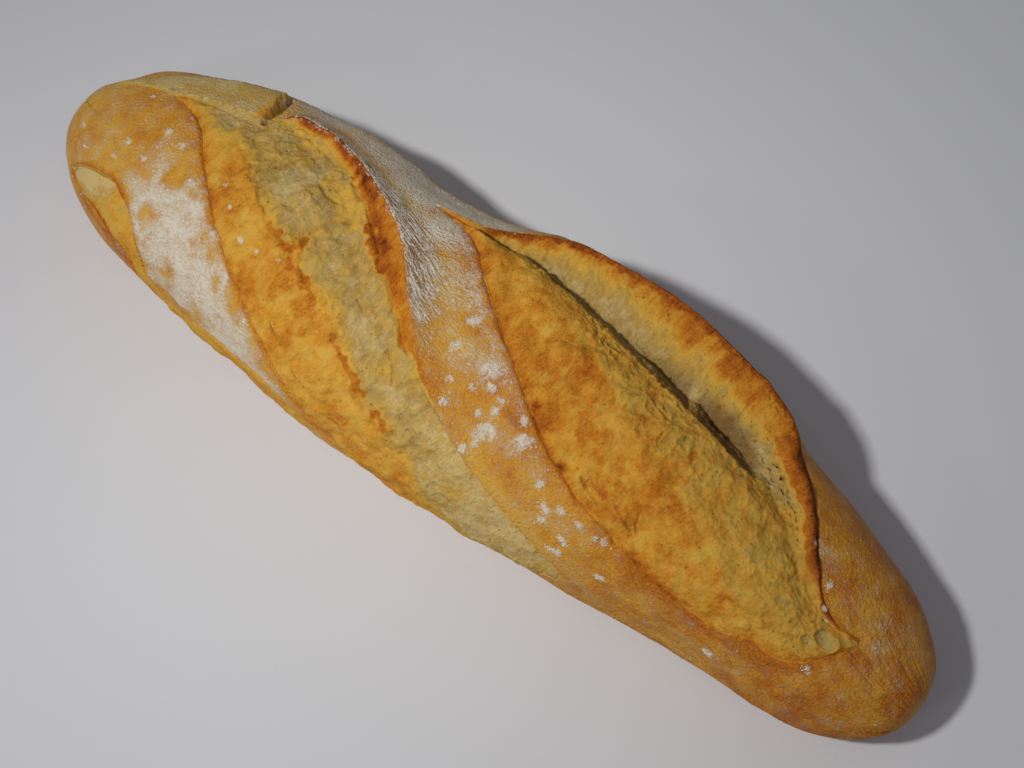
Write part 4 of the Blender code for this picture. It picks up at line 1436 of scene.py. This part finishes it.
def flour_cover(tree, place, flour, streaked, patches, fine, dust):
    """How much of the crust the flour hides: a haze, scraped into streaks by the cloth, and specks."""
    grain = add(tree, "Attribute", attribute_name="grain", out="Vector")
    along_streaks = add(tree, "Mapping", Vector=grain, Scale=(0.10, 1.0, 1.0))
    lines = add(tree, "TexNoise", Vector=along_streaks, Scale=per_mm(0.6), Detail=2.0, Roughness=0.6)
    amount = stirred(tree, flour, (patches, 0.9))
    haze = stirred(tree, amount, (fine, 0.8), (dust, 0.45))
    scrape = add(tree, "MULTIPLY_ADD", lines, 4.0, -0.47 * 4.0)
    haze = add(tree, "MULTIPLY_ADD", scrape, streaked, haze)
    haze = add(tree, "MULTIPLY_ADD", haze, 1.4, -0.35 * 1.4, use_clamp=True)
    haze = add(tree, "MULTIPLY", haze, 0.88)
    small = specks(tree, place, 0.95, amount, -0.22, 0.16)
    large = specks(tree, place, 2.1, amount, -0.24, 0.12)
    dots = add(tree, "MAXIMUM", small, large)
    dots = add(tree, "MULTIPLY", dots, 0.85)
    return add(tree, "MAXIMUM", haze, dots)


def crust_material():
    material, tree, shader = new_material("floured baked crust", 0.55, 0.15)
    place = add(tree, "TexCoord", out="Object")
    patches = add(tree, "TexNoise", Vector=place, Scale=per_mm(4.5), Detail=5.0, Roughness=0.6)
    fine = add(tree, "TexNoise", Vector=place, Scale=per_mm(0.8), Detail=2.0, Roughness=0.55)
    dust = add(tree, "TexVoronoi", Vector=place, Scale=per_mm(0.5), out="Color")
    dust = add(tree, "SeparateColor", dust)
    browned, flour, streaked, dark = point_values(tree, "browned", "floured", "streaked", "dark")
    bare = baked_colour(tree, stirred(tree, browned, (patches, -0.10), (fine, 0.34), (dust, 0.14)))
    violet = add(tree, "MULTIPLY", streaked, streaked)
    violet = add(tree, "MULTIPLY", violet, 0.75)
    bare = add(tree, "Mix", violet, bare, linear("7A564A"), data_type="RGBA")
    cover = flour_cover(tree, place, flour, streaked, patches, fine, dust)
    colour = add(tree, "Mix", cover, bare, linear("E1DACA"), data_type="RGBA")
    # Painted shade: small pores and the dark number of cracks mix the colour toward a deep shade brown.
    pores = add(tree, "TexVoronoi", Vector=place, Scale=per_mm(3.4), out="Distance")
    pore = add(tree, "MULTIPLY_ADD", pores, -11.0, 1.0, use_clamp=True)
    shade = add(tree, "MULTIPLY_ADD", pore, 0.6, dark, use_clamp=True)
    colour = add(tree, "Mix", shade, colour, linear("3F2410"), data_type="RGBA")
    rough = add(tree, "MULTIPLY_ADD", cover, 0.35, 0.55)
    height = add(tree, "MULTIPLY_ADD", cover, 0.6, fine)
    bump = add(tree, "Bump", Strength=0.9, Distance=0.0006, Height=height)
    for name, value in (("Base Color", colour), ("Roughness", rough), ("Normal", bump)):
        tree.links.new(value, shader.inputs[name])
    return material


crust.data.materials.append(crust_material())
print("material:", crust.data.materials[0].name)

# %% [markdown]
# ### Loose rye flour
# Flour that fell on in clumps is the whitest thing on the loaf: dry, matte and made of tiny grains, so it
# scatters light evenly and has no gloss at all.

# %% Loose flour material
def flour_material():
    material, tree, shader = new_material("loose rye flour", 0.95, 0.05)
    place = add(tree, "TexCoord", out="Object")
    uneven = add(tree, "TexNoise", Vector=place, Scale=per_mm(0.6), Detail=2.0, Roughness=0.55)
    light = add(tree, "MULTIPLY_ADD", uneven, 2.5, -0.3 * 2.5, use_clamp=True)
    tone = add(tree, "Mix", light, linear("D8CDB8"), linear("ECE6DA"), data_type="RGBA")
    bump = add(tree, "Bump", Strength=0.5, Distance=0.0002, Height=uneven)
    tree.links.new(tone, shader.inputs["Base Color"])
    tree.links.new(bump, shader.inputs["Normal"])
    return material


flour_finish = flour_material()
print("material:", flour_finish.name)

# %% [markdown]
# ## Loose flour
# The clumps of flour are real grains that lie on crust and crumb. A grain of flour is about 0.1 mm across,
# too fine to show, so they are drawn coarser, at 0.2 to 0.5 mm. Placing them by hand would take for ever,
# and a texture would stay flat. Geometry Nodes scatter them: points are spread over the faces, densest where
# the surface's own "loose" number is high, and each point gets one small faceted ball of its own size and
# turn. A ball of 20 faces is plenty at this size.

# %% A node tree for loose grains
def grain_tree(finish):
    """A node tree that turns a surface into the loose grains that lie on it."""
    tree = bpy.data.node_groups.new("loose flour", "GeometryNodeTree")
    for label, kind in (
        ("Surface", "Geometry"), ("Grains per square metre", "Float"), ("Smallest grain", "Float"),
        ("Largest grain", "Float"), ("Seed", "Int"),
    ):
        tree.interface.new_socket(label, in_out="INPUT", socket_type="NodeSocket" + kind)
    tree.interface.new_socket("Grains", in_out="OUTPUT", socket_type="NodeSocketGeometry")
    given = tree.nodes.new("NodeGroupInput").outputs
    seed = given["Seed"]
    loose = add(tree, "GeometryNodeInputNamedAttribute", data_type="FLOAT", Name="loose")
    density = add(tree, "MULTIPLY", loose, given["Grains per square metre"])
    points = add(
        tree, "GeometryNodeDistributePointsOnFaces", distribute_method="RANDOM", Mesh=given["Surface"],
        Density=density, Seed=seed,
    )
    ball = add(tree, "GeometryNodeMeshIcoSphere", Radius=0.5, Subdivisions=1)
    whole_turn = (math.tau, math.tau, math.tau)
    turn = add(tree, "FunctionNodeRandomValue", data_type="FLOAT_VECTOR", Max=whole_turn, Seed=seed)
    size = add(
        tree, "FunctionNodeRandomValue", data_type="FLOAT", Min=given["Smallest grain"],
        Max=given["Largest grain"], Seed=seed,
    )
    grains = add(
        tree, "GeometryNodeInstanceOnPoints", Points=points, Instance=ball, Rotation=turn, Scale=size,
    )
    grains = add(tree, "GeometryNodeRealizeInstances", grains)
    tree.links.new(
        add(tree, "GeometryNodeSetMaterial", Geometry=grains, Material=finish),
        tree.nodes.new("NodeGroupOutput").inputs["Grains"],
    )
    return tree


flour_tree = grain_tree(flour_finish)
print("nodes in the tree:", len(flour_tree.nodes))

# %% Scatter grains over a surface
GRAINS_PER_SQUARE_METRE = 6.0e6
SMALLEST_GRAIN = 0.20
LARGEST_GRAIN = 0.50


def scatter(name, surface, seed):
    """A piece made of the grains that lie on a surface."""
    piece = bpy.data.objects.new(name, surface.data.copy())
    bpy.context.scene.collection.objects.link(piece)
    modifier = piece.modifiers.new("loose flour", "NODES")
    modifier.node_group = flour_tree
    sizes = {
        "Grains per square metre": GRAINS_PER_SQUARE_METRE, "Seed": seed,
        "Smallest grain": SMALLEST_GRAIN * MM, "Largest grain": LARGEST_GRAIN * MM,
    }
    for item in flour_tree.interface.items_tree:
        if item.name in sizes:
            modifier[item.identifier] = sizes[item.name]
    print(name, "triangles:", settle(piece))
    return piece


flours = [scatter("flour_on_crust", crust, 3), scatter("flour_on_crumb", pieces["crumb_left"], 5)]

# %% [markdown]
# ## Put each piece on the loaf's body
# All of them ride on the loaf's one body and stand for its one solid.

# %% Pieces and the frame
for piece in [crust, *crumbs, *flours]:
    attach(piece, "root")
    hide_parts("loaf")
print("pieces:", [piece.name for piece in [crust, *crumbs, *flours]])

# %% [markdown]
# ## Floor, lights and camera
# The loaf lies on matte white paper. A key lamp stands in front, on the left, and lights a narrow cone round
# the loaf's middle, so the floor is lighter there and the ears cast a fairly crisp shadow. A second, weaker
# lamp stands lower and adds a long faint shadow, and the world gives soft light from everywhere.

# %% Floor
FLOOR_SIDE = 6.0

half = FLOOR_SIDE / 2
floor_mesh = bpy.data.meshes.new("floor")
floor_corners = [(-half, -half, 0), (half, -half, 0), (half, half, 0), (-half, half, 0)]
floor_mesh.from_pydata(floor_corners, [], [(0, 1, 2, 3)])
floor = bpy.data.objects.new("floor", floor_mesh)
bpy.context.scene.collection.objects.link(floor)
paper, _, paper_shader = new_material("matte white paper", 0.7, 0.25, ior=1.5)
paper_shader.inputs["Base Color"].default_value = linear("DCDCE0")
floor.data.materials.append(paper)
print("floor side, m:", FLOOR_SIDE)

# %% Light
WORLD_STRENGTH = 0.18
COOL_WHITE = "F4F6FF"


def lamp(name, place, aim, size, spread, power, colour):
    """A square area lamp at a place, aimed at another, that lights a cone as wide as its spread."""
    light = bpy.data.lights.new(name, "AREA")
    light.size = size
    light.spread = math.radians(spread)
    light.energy = power
    light.color = linear(colour)[:3]
    holder = bpy.data.objects.new(name, light)
    holder.location = place
    holder.rotation_mode = "QUATERNION"
    holder.rotation_quaternion = (Vector(place) - Vector(aim)).to_track_quat("Z", "Y")
    bpy.context.scene.collection.objects.link(holder)


lamp("key lamp", (-0.211, -0.453, 0.896), (-0.01, -0.01, 0), 0.07, 52, 0.49, "FFFFFB")
lamp("low lamp", (-0.205, -1.164, 0.954), (0, 0, 0.03), 0.15, 180, 0.76, COOL_WHITE)
world = bpy.data.worlds.new("soft room light")
bpy.context.scene.world = world
world.use_nodes = True
backdrop = world.node_tree.nodes["Background"]
backdrop.inputs["Color"].default_value = linear(COOL_WHITE)
backdrop.inputs["Strength"].default_value = WORLD_STRENGTH
bpy.context.scene.view_settings.view_transform = "Standard"
print("lamps:", [light.name for light in bpy.data.lights])

# %% Camera
CAMERA_AZIMUTH = 37.976
CAMERA_ELEVATION = 66.0
CAMERA_DISTANCE = 0.5583
CAMERA_TARGET = Vector((8.474, 7.538, 20.0)) * MM - Vector(centre.tolist()) * MM
LENS = 65.0

azimuth, elevation = math.radians(CAMERA_AZIMUTH), math.radians(CAMERA_ELEVATION)
back = Vector((
    math.sin(azimuth) * math.cos(elevation),
    -math.cos(azimuth) * math.cos(elevation),
    math.sin(elevation),
))
camera_data = bpy.data.cameras.new("camera")
camera_data.lens = LENS
camera_data.sensor_width = 36.0
camera_data.clip_start = 0.01
camera = bpy.data.objects.new("camera", camera_data)
camera.location = CAMERA_TARGET + back * CAMERA_DISTANCE
camera.rotation_mode = "QUATERNION"
camera.rotation_quaternion = back.to_track_quat("Z", "Y")
bpy.context.scene.collection.objects.link(camera)
bpy.context.scene.camera = camera
print("camera at", [round(value, 3) for value in camera.location])

# %% Show the solid's size and finish
bpy.context.view_layer.update()
print("solid, mm:", [[round(v / MM, 2) for v in corner] for corner in cad_box])
